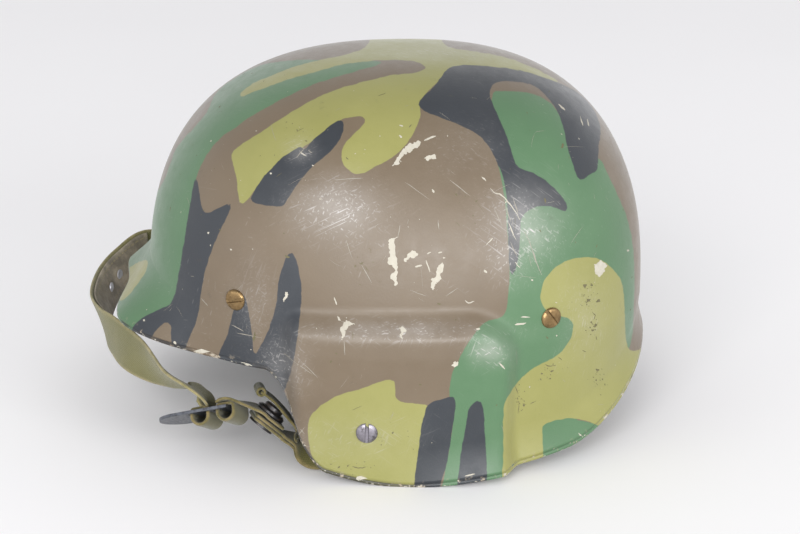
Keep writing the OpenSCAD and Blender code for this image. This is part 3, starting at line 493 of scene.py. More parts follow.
def build_shell():
    degrees = ring_degrees()
    z = shell_heights(degrees)
    rows = len(z)
    grid = np.repeat(degrees[None, :], rows, 0)
    outer = outer_point(grid, z)
    keep = sorted(set(range(0, rows, INNER_STEP)) | {rows - 1})
    inner = inner_point(grid[keep], z[keep])
    points = np.concatenate([
        outer.reshape(-1, 3), inner.reshape(-1, 3), [[0, 0, CROWN_HEIGHT], [0, 0, CROWN_HEIGHT - SHELL_T]]
    ])
    n_outer, n_inner = rows * COLUMNS, len(keep) * COLUMNS
    faces = grid_faces(rows, COLUMNS) + grid_faces(len(keep), COLUMNS, n_outer, True)
    top, low = n_outer + n_inner, n_outer + n_inner + 1
    last_outer, last_inner = (rows - 1) * COLUMNS, n_outer + (len(keep) - 1) * COLUMNS
    for j in range(COLUMNS):
        k = (j + 1) % COLUMNS
        faces.append((top, j, k))
        faces.append((low, n_outer + k, n_outer + j))
        faces.append((last_outer + j, last_inner + j, last_inner + k, last_outer + k))
    obj = new_object("painted_shell", placed(points), faces, "helmet", ["shell"])
    got = np.empty(len(points) * 3, np.float32)
    obj.data.vertices.foreach_get("normal", got)
    add_camouflage(obj.data, points, got.reshape(-1, 3))
    side = np.zeros(len(points))
    side[:n_outer] = 1
    side[top] = 1
    vertex_values(obj.data, "outside", side)
    height = np.full(len(points), FAR_FROM_RIM)
    height[:n_outer] = (z - rim(grid)).ravel()
    vertex_values(obj.data, "low", height)
    return obj


# Sockets of a mix node that mixes colours: its share, its two colours and its result
MIX_SHARE, MIX_FIRST, MIX_SECOND, MIX_RESULT = 0, 6, 7, 2


class Shader:
    """A short way to build one material from nodes."""

    def __init__(self, name):
        self.material = bpy.data.materials.new(name)
        self.material.use_nodes = True
        self.tree = self.material.node_tree
        self.surface = self.tree.nodes["Principled BSDF"]

    def node(self, kind, **values):
        made = self.tree.nodes.new(kind)
        for key, value in values.items():
            setattr(made, key, value)
        return made

    def put(self, socket, value):
        if hasattr(value, "is_output"):
            self.tree.links.new(value, socket)
        elif hasattr(socket.default_value, "__len__") and not hasattr(value, "__len__"):
            socket.default_value = [value] * len(socket.default_value)
        else:
            socket.default_value = value

    def math(self, how, a, b=0.0, c=0.0):
        made = self.node("ShaderNodeMath", operation=how)
        for socket, value in zip(made.inputs, (a, b, c)):
            self.put(socket, value)
        return made.outputs[0]

    def step(self, value, low, high):
        made = self.node("ShaderNodeMapRange", interpolation_type="SMOOTHSTEP")
        for key, entry in (("Value", value), ("From Min", low), ("From Max", high)):
            self.put(made.inputs[key], entry)
        return made.outputs[0]

    def map(self, value, low, high, to_low, to_high):
        made = self.node("ShaderNodeMapRange")
        for key, entry in (
            ("Value", value), ("From Min", low), ("From Max", high), ("To Min", to_low), ("To Max", to_high)
        ):
            self.put(made.inputs[key], entry)
        return made.outputs[0]

    def blend(self, share, a, b):
        made = self.node("ShaderNodeMix", data_type="RGBA")
        for socket, entry in ((MIX_SHARE, share), (MIX_FIRST, a), (MIX_SECOND, b)):
            self.put(made.inputs[socket], entry)
        return made.outputs[MIX_RESULT]

    def position(self):
        return self.node("ShaderNodeTexCoord").outputs["Object"]

    def woven_place(self):
        """How far a point lies along its band and across it, in millimetres."""
        parts = self.node("ShaderNodeSeparateXYZ")
        self.put(parts.inputs[0], self.node("ShaderNodeAttribute", attribute_name="weave").outputs["Vector"])
        return parts.outputs[0], parts.outputs[1]

    def noise(self, vector, scale, detail=2.0, rough=0.5):
        made = self.node("ShaderNodeTexNoise")
        self.put(made.inputs["Vector"], vector)
        for key, entry in (("Scale", scale), ("Detail", detail), ("Roughness", rough)):
            made.inputs[key].default_value = entry
        return made.outputs[0]

    def value(self, name):
        return self.node("ShaderNodeAttribute", attribute_name=name).outputs["Fac"]

    def bump(self, height, strength, distance, normal=None):
        made = self.node("ShaderNodeBump")
        if normal is not None:
            self.put(made.inputs["Normal"], normal)
        made.inputs["Strength"].default_value = strength
        made.inputs["Distance"].default_value = distance
        self.put(made.inputs["Height"], height)
        self.put(self.surface.inputs["Normal"], made.outputs[0])

    def set(self, **values):
        names = {"color": "Base Color", "rough": "Roughness", "metal": "Metallic",
                 "spec": "Specular IOR Level", "sheen": "Sheen Weight", "sheen_rough": "Sheen Roughness"}
        for key, value in values.items():
            self.put(self.surface.inputs[names[key]], value)
        return self.material


def color(r, g, b):
    """Linear colour from sRGB values out of 255."""
    out = []
    for c in (r, g, b):
        c = c / 255
        out.append(c / 12.92 if c <= 0.04045 else ((c + 0.055) / 1.055) ** 2.4)
    return (*out, 1.0)


# Directions of the scratches, the length of each kind and the space between two
SIDE_WAYS = [(0, 0.9, 0.45), (0, 0.35, 0.94), (0, -0.8, 0.6), (0.7, 0.7, 0.1), (0.8, -0.1, 0.6)]
LONG_LINES = [(way, 0.05, 0.0011) for way in SIDE_WAYS[:4]]
SHORT_LINES = [(way, 0.016, 0.0009) for way in SIDE_WAYS]


def lines(s, at, kinds, low, high):
    """Straight scratches in a few directions, from noise that is stretched along each."""
    out = None
    normal = s.node("ShaderNodeNewGeometry").outputs["Normal"]
    for way, length, space in kinds:
        turn = Vector(way).to_track_quat("X", "Z").to_euler()
        local = s.node("ShaderNodeMapping", vector_type="TEXTURE")
        s.put(local.inputs["Vector"], at)
        local.inputs["Rotation"].default_value = turn
        local.inputs["Scale"].default_value = (length, space, space)
        end_on = s.node("ShaderNodeVectorMath", operation="DOT_PRODUCT")
        s.put(end_on.inputs[0], normal)
        end_on.inputs[1].default_value = Vector(way).normalized()
        flat = s.map(s.math("ABSOLUTE", end_on.outputs["Value"]), 0.3, 0.6, 1.0, 0.0)
        line = s.math("MULTIPLY", s.step(s.noise(local.outputs[0], 1.0, 1.0), low, high), flat)
        out = line if out is None else s.math("MAXIMUM", out, line)
    return out


# How far the edges of the patches waver and how soft they are, in pixels
EDGE_WAVER, EDGE_SOFT = 2.6, 0.45
# How strongly each kind of wear, and the painted sheen of the rubbed places, covers the paint
SCRATCH_SHOWS, RUB_AND_SHEEN_SHOWS, FINE_SHOWS, DOT_SHOWS, GRIME_SHOWS, LIP_SHOWS = 0.2, 0.3, 0.9, 0.3, 0.22, 0.9
# Heights over the rim in millimetres: the bare lip's soft upper edge, and the top of the rim's wear
LIP_FROM, LIP_TO, WEAR_TOP = 0.6, 1.6, 5.0


def camouflage_paint():
    """Four colours in patches, with scratches, rubbed places lightened by a painted sheen, dots and grime,
    bare along the rim.
    """
    s = Shader("camouflage_paint")
    at = s.position()
    wobble = s.math("SUBTRACT", s.noise(at, 190, 3), 0.5)
    mottle = s.noise(at, 30, 5, 0.62)
    tone = s.blend(mottle, BROWN_LOW, BROWN_HIGH)
    for name, low, high in (
        ("green", GREEN_LOW, GREEN_HIGH), ("yellow", YELLOW_LOW, YELLOW_HIGH), ("dark", DARK_LOW, DARK_HIGH)
    ):
        depth = s.math("MULTIPLY_ADD", wobble, EDGE_WAVER, s.value(name))
        tone = s.blend(s.step(depth, -EDGE_SOFT, EDGE_SOFT), tone, s.blend(mottle, low, high))

    def lay(share, strength, top):
        return s.blend(s.math("MULTIPLY", share, strength), tone, top)

    places = s.step(s.noise(at, 22, 3), 0.46, 0.7)
    scratches = s.math("MULTIPLY", lines(s, at, LONG_LINES, 0.7, 0.78), places)
    # painted sheen and highlights: the rubbed places, and the fine scratches in them, are lightened toward a
    # pale colour as if they caught the light
    rub_and_sheen = s.math("MULTIPLY", s.value("worn_and_sheen"), s.map(s.noise(at, 60, 4, 0.7), 0.3, 0.7, 0.5, 1.3))
    fine = s.math("MULTIPLY", lines(s, at, SHORT_LINES, 0.62, 0.74), rub_and_sheen)
    tone = lay(scratches, SCRATCH_SHOWS, PALE_SCRATCH_AND_SHEEN)
    tone = lay(rub_and_sheen, RUB_AND_SHEEN_SHOWS, PALE_SCRATCH_AND_SHEEN)
    tone = lay(fine, FINE_SHOWS, PALE_SCRATCH_AND_SHEEN)
    dots = s.step(s.noise(at, 800, 2, 0.7), 0.735, 0.76)
    dots = s.math("MULTIPLY", dots, s.step(s.noise(at, 26, 3), 0.5, 0.62))
    tone = lay(dots, DOT_SHOWS, CREAM)
    tone = lay(s.step(s.noise(at, 75, 5, 0.75), 0.62, 0.74), GRIME_SHOWS, GRIME)
    at_lip = s.map(s.value("low"), LIP_FROM, LIP_TO, 1.0, 0.0)
    tone = lay(s.math("MULTIPLY", at_lip, s.step(s.noise(at, 13, 3), 0.56, 0.6)), LIP_SHOWS, BARE_LIP)
    near_edge = s.map(s.value("low"), 0.0, WEAR_TOP, 1.0, 0.0)
    worn = s.math("MULTIPLY", near_edge, s.step(s.noise(at, 210, 4, 0.7), 0.57, 0.63))
    tone = s.blend(worn, tone, s.blend(s.noise(at, 300, 2), CREAM, PRIMER))
    inside = s.blend(s.noise(at, 60, 4, 0.7), INNER_LOW, INNER_HIGH)
    tone = s.blend(s.value("outside"), inside, tone)
    grain = s.math("MULTIPLY_ADD", s.noise(at, 780, 3, 0.6), 0.7, s.math("MULTIPLY", scratches, -0.25))
    s.bump(grain, 0.3, 0.00022)
    dull = s.map(s.noise(at, 120, 4, 0.7), 0.3, 0.7, 0.36, 0.5)
    rough = s.math("MULTIPLY_ADD", fine, -0.12, dull)
    return s.set(color=tone, rough=rough, spec=0.5, sheen=0.2, sheen_rough=0.32)


# Width of a rib and of a pick in the webbing, and where its worn edge starts and ends, in millimetres
RIB_W, PICK_W, WORN_FROM, WORN_TO = 1.25, 1.0, 2.6, 0.2
# A row of stitches: its way in from the edge, the length of a stitch with its gap and the stitch's share
SEAM_IN, STITCH, STITCH_SHARE = 2.6, 3.2, 0.68


def woven(name, low, high, edge, width, worn=0.6):
    """Webbing: ribs along the strap, picks across it with painted shade between them, dusty and pale at its
    edges.
    """
    s = Shader(name)
    at = s.position()
    along, across = s.woven_place()
    rows = s.math("SINE", s.math("MULTIPLY", along, 2 * math.pi / PICK_W))
    half = s.math("MULTIPLY", s.math("SIGN", rows), math.pi / 2)
    ribs = s.math("SINE", s.math("MULTIPLY_ADD", across, 2 * math.pi / RIB_W, half))
    height = s.math("MULTIPLY_ADD", s.math("MULTIPLY", ribs, s.math("ABSOLUTE", rows)), 0.5, 0.5)
    fuzz = s.noise(at, 2600, 3, 0.7)
    patch = s.noise(at, 90, 4, 0.65)
    tone = s.blend(patch, low, high)
    # painted shade: the low places of the weave, between ribs and picks, are darkened toward the shade
    # colour
    tone = s.blend(s.math("MULTIPLY", s.math("SUBTRACT", 1.0, height), 0.45), tone, SHADE)
    rim_share = s.step(s.math("ABSOLUTE", across), width / 2 - WORN_FROM, width / 2 - WORN_TO)
    wear = s.math("MULTIPLY", rim_share, s.map(s.noise(at, 160, 4, 0.7), 0.35, 0.65, 0.1, 1.0))
    tone = s.blend(s.math("MULTIPLY", wear, worn), tone, edge)
    s.bump(s.math("MULTIPLY_ADD", fuzz, 0.5, height), 0.6, 0.00035)
    return s.set(color=tone, rough=0.92, spec=0.15, sheen=0.25)


def hide(name, low, high, width):
    """Leather with a fine grain, a row of stitches along each edge and darker creases."""
    s = Shader(name)
    at = s.position()
    along, across = s.woven_place()
    row = s.math("ABSOLUTE", s.math("SUBTRACT", s.math("ABSOLUTE", across), width / 2 - SEAM_IN))
    in_row = s.math("SUBTRACT", 1.0, s.step(row, 0.3, 0.55))
    gap = s.math("FRACT", s.math("MULTIPLY", along, 1 / STITCH))
    stitch = s.math("MULTIPLY", in_row, s.math("LESS_THAN", gap, STITCH_SHARE))
    cells = s.node("ShaderNodeTexVoronoi")
    s.put(cells.inputs["Vector"], at)
    cells.inputs["Scale"].default_value = 700
    creases = s.step(s.noise(at, 55, 5, 0.7), 0.35, 0.7)
    tone = s.blend(creases, low, high)
    tone = s.blend(s.math("MULTIPLY", stitch, 0.6), tone, THREAD)
    height = s.math("MULTIPLY_ADD", stitch, 1.4, s.math("MULTIPLY", cells.outputs[0], 0.5))
    s.bump(s.math("MULTIPLY_ADD", in_row, -0.6, height), 0.5, 0.0004)
    return s.set(color=tone, rough=s.map(s.noise(at, 200, 3), 0.3, 0.7, 0.42, 0.62), spec=0.4)


def metal(name, low, high, stain, rough_low, rough_high, share=1.0, edge=0.35, stained=0.8):
    """Worn metal: brushed tone, stains in patches, bright softened edges."""
    s = Shader(name)
    at = s.position()
    tone = s.blend(s.noise(at, 420, 4, 0.6), low, high)
    spots = s.step(s.noise(at, 330, 5, 0.75), 0.5, 0.66)
    tone = s.blend(s.math("MULTIPLY", spots, stained), tone, stain)
    rough = s.map(s.noise(at, 900, 3, 0.6), 0.3, 0.7, rough_low, rough_high)
    soft = s.node("ShaderNodeBevel", samples=4)
    soft.inputs["Radius"].default_value = edge * MM
    s.bump(s.noise(at, 1500, 3, 0.7), 0.25, 0.0002, soft.outputs[0])
    return s.set(color=tone, rough=rough, metal=share)


def flaked(name, low, high):
    """Dull bare material where paint is gone or rubbed off."""
    s = Shader(name)
    at = s.position()
    tone = s.blend(s.noise(at, 500, 3, 0.7), low, high)
    s.bump(s.noise(at, 1300, 3), 0.3, 0.0001)
    return s.set(color=tone, rough=0.75, spec=0.3)


# Colours of the paint and the materials
BROWN_LOW, BROWN_HIGH = color(92, 79, 63), color(106, 93, 76)
GREEN_LOW, GREEN_HIGH = color(66, 98, 68), color(80, 112, 80)
YELLOW_LOW, YELLOW_HIGH = color(122, 121, 66), color(139, 137, 82)
DARK_LOW, DARK_HIGH = color(34, 38, 43), color(47, 51, 57)
# The pale colour serves the real scratches and the painted sheen of the rubbed places
PALE_SCRATCH_AND_SHEEN, GRIME, BARE_LIP = color(172, 169, 166), color(58, 52, 42), color(34, 32, 30)
CREAM, PRIMER = color(158, 153, 140), color(134, 114, 90)
INNER_LOW, INNER_HIGH = color(70, 74, 56), color(88, 92, 70)
SHADE, THREAD = color(46, 44, 30), color(150, 138, 104)
OLIVE_LOW, OLIVE_HIGH, OLIVE_EDGE = color(100, 98, 58), color(126, 122, 80), color(172, 158, 118)
MUD_LOW, MUD_HIGH, MUD_EDGE = color(72, 70, 36), color(98, 94, 54), color(152, 134, 94)
WEB_LOW, WEB_HIGH = color(88, 86, 56), color(112, 108, 74)


def spline(points, steps):
    p = np.array(points, float)
    last = len(p) - 1
    out = []
    for i in range(last):
        a, b, c, d = p[max(i - 1, 0)], p[i], p[i + 1], p[min(i + 2, last)]
        for t in np.arange(steps) / steps:
            bend, twist = 2 * a - 5 * b + 4 * c - d, 3 * b - a - 3 * c + d
            out.append(b + 0.5 * ((c - a) * t + bend * t**2 + twist * t**3))
    out.append(p[last])
    return np.array(out)


def headings(path, closed=False):
    if closed:
        return unit(np.roll(path, -1, 0) - np.roll(path, 1, 0))
    return unit(np.concatenate([path[1:], path[-1:]]) - np.concatenate([path[:1], path[:-1]]))


def lengths_along(path):
    return np.concatenate([[0], np.cumsum(np.linalg.norm(np.diff(path, axis=0), axis=1))])


def squared(a, t):
    return unit(a - (a * t).sum(-1, keepdims=True) * t)


def up_from(along, across):
    x = unit(np.array(along, float))
    return -np.cross(x, squared(np.array(across, float), x))


# How many points lie across a band, and how squarely its edges turn
BAND_POINTS, EDGE_POWER = 19, 14


def band_section(width, t):
    """Outline of a woven band: flat, with soft rounded edges."""
    x = width / 2 * np.sin(np.linspace(-np.pi / 2, np.pi / 2, BAND_POINTS))
    y = t / 2 * np.sqrt(np.clip(1 - np.abs(2 * x / width) ** EDGE_POWER, 0, 1))
    top = np.stack([x, y], 1)
    low = np.stack([x[-2:0:-1], -y[-2:0:-1]], 1)
    return np.concatenate([top, low])


class Band:
    """Collects woven bands of one piece into one mesh."""

    def __init__(self):
        self.vertices, self.faces, self.weave = [], [], []

    def add(self, path, across, width, t, closed=False, lift=0.0, warp=None):
        path, across = np.array(path, float), np.array(across, float)
        way = headings(path, closed)
        side = squared(across, way)
        up = np.cross(way, side)
        section = band_section(width, t)
        x, y = section[:, 0], section[:, 1] + lift
        points = path[:, None] + side[:, None] * x[None, :, None] + up[:, None] * y[None, :, None]
        if warp is not None:
            points = warp(points, x, y, path, up)
        along = lengths_along(path)[:, None]
        weave = np.stack(np.broadcast_arrays(along, x[None, :], y[None, :]), -1)
        p = points.reshape(-1, 3)
        start = len(self.vertices)
        for face in facing_out(p, swept_faces(len(path), len(section), closed=closed)):
            self.faces.append(tuple(start + k for k in face))
        self.vertices.extend(p)
        self.weave.extend(weave.reshape(-1, 3))

    def finish(self, name, body, replaced, look, slot, mirror=False):
        v, faces = np.array(self.vertices), self.faces
        if mirror:
            v, faces = v * (-1, 1, 1), turned_over(faces)
        obj = new_object(name, placed(v), faces, body, replaced)
        data = obj.data.attributes.new("weave", "FLOAT_VECTOR", "POINT").data
        data.foreach_set("vector", np.array(self.weave, np.float32).ravel())
        obj.data.materials.append(look)


# Sizes of the fittings, in millimetres, and each screw's angle, height and turn of its slot
TRIM_BEVEL, PAINTED_RIM_ROWS = 0.96, 8
SCREW_PLACES = [(47.5, 94, 14), (-47.5, 94, 62), (125, 85, -54), (-125, 85, 20), (180, 85, 80)]
CHIN_ANGLE, CHIN_HEIGHT, CHIN_SLOT = 79.5, 31.0, 88
HEAD_R, HEAD_T, SLOT_W, SLOT_DEPTH, HEAD_SEAT, SHANK_R = 5.5, 1.8, 1.6, 1.0, 0.5, 2.5
BAND_DEPTH, BAND_T, BAND_LOW, BAND_W = 23.0, 1.6, 75.0, 25.0
HEADBAND_DEPTH, HEADBAND_T, HEADBAND_W, HEADBAND_OPEN = 30.6, 3.0, 34.0, 24.0
CROWN_STRAP_W, CORD_RING_R, CORD_D, HEM_HEIGHT, CROWN_TOP = 20.0, 27.0, 4.0, 166.33, 168.0
STRAP_W, STRAP_T, ANCHOR_W, ANCHOR_T, SOFT_GAP = 22.0, 1.8, 20.0, 3.6, 0.3


def build_trim():
    """Rim strip under the shell's edge, painted over with the shell."""
    degrees = ring_degrees()
    low = rim(degrees)
    high = low + TRIM_T
    out, into = outer_point(degrees, high), inner_point(degrees, high)
    into = into * (1, 1, 0) + out * (0, 0, 1)
    across = unit((out - into) * (1, 1, 0))
    turns = np.linspace(0, np.pi / 2, 5)
    rows = [out]
    for edge, inward, order in ((out, -1, turns), (into, 1, turns[::-1])):
        for t in order:
            drop = TRIM_T - TRIM_BEVEL * (1 - np.sin(t))
            rows.append(edge + inward * across * TRIM_BEVEL * (1 - np.cos(t)) - [0, 0, drop])
    rows.append(into)
    p = np.array(rows)
    p[..., 2] = np.maximum(p[..., 2], REST_CUT)
    n = len(p)
    faces = grid_faces(n, COLUMNS, closed=True)
    p = p.reshape(-1, 3)
    obj = new_object("painted_rim", placed(p), faces, "helmet", ["edge_trim"])
    add_camouflage(obj.data, p, np.repeat(across[None], n, 0).reshape(-1, 3))
    painted = np.arange(n) < PAINTED_RIM_ROWS
    vertex_values(obj.data, "outside", np.repeat(painted, COLUMNS))
    vertex_values(obj.data, "low", np.zeros(len(p)))
    return obj


def plan_normal(degrees):
    t = np.radians(degrees)
    x, y = plan(t) * np.sin(t), -plan(t) * np.cos(t)
    half = np.where(y < 0, FRONT_HALF, REAR_HALF)
    nx = np.sign(x) * np.abs(x) ** (PLAN_POWER - 1) / SIDE_HALF**PLAN_POWER
    ny = np.sign(y) * np.abs(y) ** (PLAN_POWER - 1) / half**PLAN_POWER
    return unit(np.stack([nx, ny, 0 * nx], -1))


def plan_point(degrees, depth, z=0.0):
    t = np.radians(degrees)
    flat = np.stack([plan(t) * np.sin(t), -plan(t) * np.cos(t), 0 * t + z], -1)
    return flat - plan_normal(degrees) * depth


def hoop_path(depth, z, low=-180.0, high=180.0, count=240, closed=True):
    return plan_point(np.linspace(low, high, count, endpoint=not closed), depth, z)


# The strap across the headband's opening, and the angle at which each crown strap stands
SIZE_STRAP_W, SIZE_STRAP_T, SIZE_STRAP_HEIGHT, SIZE_STRAP_LAP = 20.0, 1.2, 80.0, 14.0
CROWN_STRAPS = {
    "front_left": 30.0, "front_right": -30.0, "left": 90.0, "right": -90.0,
    "rear_left": 150.0, "rear_right": -150.0,
}
UPWARD = (0, 0, 1.0)


def build_web_band(look):
    path = hoop_path(BAND_DEPTH + BAND_T / 2, BAND_LOW + BAND_W / 2)
    band = Band()
    band.add(path, UPWARD, BAND_W, BAND_T, closed=True)
    band.finish("suspension_webbing", "helmet", ["suspension_band"], look, "webbing")


def build_headband(look):
    height = BAND_LOW + BAND_W - HEADBAND_W / 2
    full = hoop_path(HEADBAND_DEPTH + HEADBAND_T / 2, height, 0, 360, 400, False)
    keep = full[~((np.abs(full[:, 0]) < HEADBAND_OPEN) & (full[:, 1] > 0))]
    start = int(np.argmax(np.linalg.norm(np.diff(keep, axis=0), axis=1))) + 1
    band = Band()
    band.add(np.concatenate([keep[start:], keep[1:start]]), UPWARD, HEADBAND_W, HEADBAND_T)
    band.finish("leather_headband", "helmet", ["headband"], look, "leather")


def build_size_strap(look):
    depth = HEADBAND_DEPTH - SOFT_GAP - SIZE_STRAP_T / 2
    full = hoop_path(depth, SIZE_STRAP_HEIGHT, 150, 210, 200, False)
    path = full[np.abs(full[:, 0]) < HEADBAND_OPEN + SIZE_STRAP_LAP]
    band = Band()
    band.add(path, UPWARD, SIZE_STRAP_W, SIZE_STRAP_T)
    band.finish("size_webbing", "helmet", ["size_strap"], look, "webbing")


def build_inside(web, leather):
    build_web_band(web)
    build_headband(leather)
    build_size_strap(web)
    for name, angle in CROWN_STRAPS.items():
        build_crown_strap(name, angle, web)


# Points along a crown strap's straight leg, along its arc and round the cord, and how many of the arc
# take part in its bend to the cord's ring
LEG_POINTS, ARC_POINTS, HEM_POINTS, BENT_POINTS = 6, 57, 33, 10
# The turn that the strap makes round the cord, and the room between the band and the strap's leg
HEM_TURN, LEG_ROOM = 1.97 * np.pi, 0.9


def crown_arc(foot, last_radius):
    reach = np.linalg.norm(foot[:2])
    last = np.arccos((last_radius / reach) ** (DOME_POWER / 2))
    p = last * np.linspace(0, 1, ARC_POINTS)
    top = BAND_LOW + BAND_W
    rise = top + (CROWN_TOP - top) * np.sin(p) ** (2 / DOME_POWER)
    return np.concatenate([foot[None, :2] * (np.cos(p) ** (2 / DOME_POWER))[:, None], rise[:, None]], 1)


def build_crown_strap(name, angle, look):
    """From the band up to the cord, and round it. Near the cord the strap bends to the cord's ring."""
    foot_depth = BAND_DEPTH + BAND_T + SOFT_GAP + LEG_ROOM + BAND_T / 2
    foot = plan_point(np.array(angle), foot_depth)
    side = plan_normal(np.array(angle))
    hem = CORD_D / 2 + SOFT_GAP + BAND_T / 2
    arc = crown_arc(foot, CORD_RING_R + hem)
    t = np.linspace(0, 1, ARC_POINTS)
    arc[:, 2] -= (arc[-1, 2] - HEM_HEIGHT) * t
    low_way = np.array([-side[1], side[0], 0])
    high_way = unit(np.array([-foot[1], foot[0], 0]))
    share = ramp(t)[:, None]
    across = unit(low_way * (1 - share) + high_way * share)
    start = np.array([foot[0], foot[1], BAND_LOW + BAND_W / 3])
    turns = np.linspace(0, HEM_TURN, HEM_POINTS + 1)[1:]
    outward = unit(np.array([foot[0], foot[1], 0]))
    around_cord = (
        outward * CORD_RING_R
        + outward * hem * np.cos(turns)[:, None]
        + np.array([0, 0, HEM_HEIGHT])
        + np.array([0, 0, hem]) * np.sin(turns)[:, None]
    )
    path = np.concatenate([np.linspace(start, arc[0], LEG_POINTS + 1)[:-1], arc, around_cord])
    leg_ways = np.repeat(low_way[None], LEG_POINTS, 0)
    cord_ways = np.repeat(high_way[None], HEM_POINTS, 0)
    bent_arc = np.clip((np.arange(ARC_POINTS) - ARC_POINTS + BENT_POINTS) / (BENT_POINTS - 1), 0, 1)
    bent = np.concatenate([np.zeros(LEG_POINTS), bent_arc, np.ones(HEM_POINTS)])
    heading = math.atan2(outward[1], outward[0])

    def warp(points, x, y, path, up):
        radial = (path @ outward)[:, None] + (up @ outward)[:, None] * y[None]
        tall = path[:, 2:3] + up[:, 2:3] * y[None]
        turn = heading + x[None] / CORD_RING_R
        curved = np.stack([radial * np.cos(turn), radial * np.sin(turn), tall], -1)
        share = ramp(bent)[:, None, None]
        return points * (1 - share) + curved * share

    band = Band()
    band.add(path, np.concatenate([leg_ways, across, cord_ways]), CROWN_STRAP_W, BAND_T, warp=warp)
    band.finish("crown_webbing_" + name, "helmet", ["crown_strap_" + name], look, "webbing")


# How many strands the cord has, and how far they stand out, as a share of its radius
STRANDS, STRAND_RISE = 3, 0.09


def tube(path, radius, sides, pitch, closed=False):
    """Twisted cord along a path. The pitch is the length of one turn of its strands."""
    path = np.array(path, float)
    way = headings(path, closed)
    guide = np.array([0, 0, 1.0]) if abs(way[:, 2]).mean() < 0.8 else np.array([0, 1.0, 0])
    side = unit(np.cross(way, guide))
    up = np.cross(way, side)
    a = np.arange(sides) / sides * 2 * np.pi
    grow = 1 + STRAND_RISE * np.cos(STRANDS * a[None] - 2 * np.pi * lengths_along(path)[:, None] / pitch)
    r = np.broadcast_to(radius, (len(path),))[:, None] * grow
    ring = side[:, None] * (r * np.cos(a))[..., None] + up[:, None] * (r * np.sin(a))[..., None]
    v = (path[:, None] + ring).reshape(-1, 3)
    return v, facing_out(v, swept_faces(len(path), sides, True, closed))


def joined(parts):
    vertices, faces, start = [], [], 0
    for v, f in parts:
        vertices.append(np.asarray(v))
        faces.extend(tuple(start + k for k in face) for face in f)
        start += len(v)
    return np.concatenate(vertices), faces


# Size of the crown cord's knot and the radius of the cord in it, and the length and spread of its tails
KNOT_SIZE, KNOT_CORD_R, TAIL_LENGTH, TAIL_SPREAD = 1.05, 1.5, 22.5, 9


def build_cord(look):
    turn = np.linspace(0, 2 * np.pi, 360, endpoint=False)
    ring = np.stack([CORD_RING_R * np.sin(turn), -CORD_RING_R * np.cos(turn), 0 * turn + HEM_HEIGHT], 1)
    parts = [tube(ring, CORD_D / 2, 18, 7.0, True)]
    t = np.linspace(0, 2 * np.pi, 90, endpoint=False)
    knot = np.stack([np.sin(t) + 2 * np.sin(2 * t), np.cos(t) - 2 * np.cos(2 * t), -1.1 * np.sin(3 * t)], 1)
    centre = np.array([0, -CORD_RING_R, HEM_HEIGHT])
    parts.append(tube(centre + knot * KNOT_SIZE, KNOT_CORD_R, 12, 5.0, True))
    for side in (-1, 1):
        s = np.linspace(0, 1, 40)
        aside = side * (TAIL_SPREAD * s + 1.2 * np.sin(3 * s))
        end = np.stack([aside, -1.2 * s * (1 - s) * side, -TAIL_LENGTH * s], 1)
        width = CORD_D * 0.4 * (1 + 0.25 * ramp((s - 0.9) / 0.1))
        parts.append(tube(centre + end, width, 14, 6.0))
    v, faces = joined(parts)
    obj = new_object("twisted_cord", placed(v), faces, "helmet", ["crown_cord"])
    obj.data.materials.append(look)


# A screw's number of sides, and the height and radius of each ring of its head
SCREW_SIDES = 40
HEAD_RINGS = [
    (-0.1, HEAD_R), (0.75, HEAD_R), (1.2, HEAD_R - 0.25), (1.55, HEAD_R - 0.8), (1.8, HEAD_R - 1.9),
    (1.95, HEAD_R - 3.2),
]
# Rings from this one up stand back from the slot's edge by this much
BROKEN_FROM, BROKEN_EDGE = 3, 0.12
SLOT_FLOOR_R = HEAD_R - 0.03


def half_head(mirror):
    """The half dome on one side of the slot."""
    rings = []
    for i, (z, r) in enumerate(HEAD_RINGS):
        inset = SLOT_W / 2 + (BROKEN_EDGE if i >= BROKEN_FROM else 0.0)
        first = math.asin(min(inset / r, 0.95))
        a = np.linspace(first, math.pi - first, SCREW_SIDES // 2)
        rings.append(np.stack([r * np.cos(a), np.maximum(r * np.sin(a), inset), 0 * a + z], 1))
    m = len(rings[0])
    last = (len(rings) - 1) * m
    faces = grid_faces(len(rings), m, flip=True) + [tuple(range(last, last + m))]
    return np.concatenate(rings) * (1, mirror, 1), faces if mirror > 0 else turned_over(faces)


def slotted_screw(length, slot_degrees):
    """A domed slotted head: two half domes beside the slot, the slot's floor and the shank."""
    a = np.arange(SCREW_SIDES) / SCREW_SIDES * 2 * np.pi
    floor = HEAD_T - SLOT_DEPTH
    profile = [
        (-length, 0.0), (-length, SHANK_R - 0.4), (-length + 0.5, SHANK_R), (-0.05, SHANK_R),
        (-0.05, SLOT_FLOOR_R), (floor, SLOT_FLOOR_R), (floor, 0.0),
    ]
    shank = np.concatenate([np.stack([r * np.cos(a), r * np.sin(a), 0 * a + z], 1) for z, r in profile])
    shank_faces = grid_faces(len(profile), SCREW_SIDES, flip=True)
    v, faces = joined([half_head(1), half_head(-1), (shank, shank_faces)])
    t = math.radians(slot_degrees)
    turned = v @ np.array([[math.cos(t), math.sin(t), 0], [-math.sin(t), math.cos(t), 0], [0, 0, 1]])
    return turned + [0, 0, -HEAD_SEAT], faces


# Lengths of the screws' shanks
SCREW_LENGTH, CHIN_SCREW_LENGTH = 13.8, 20.2


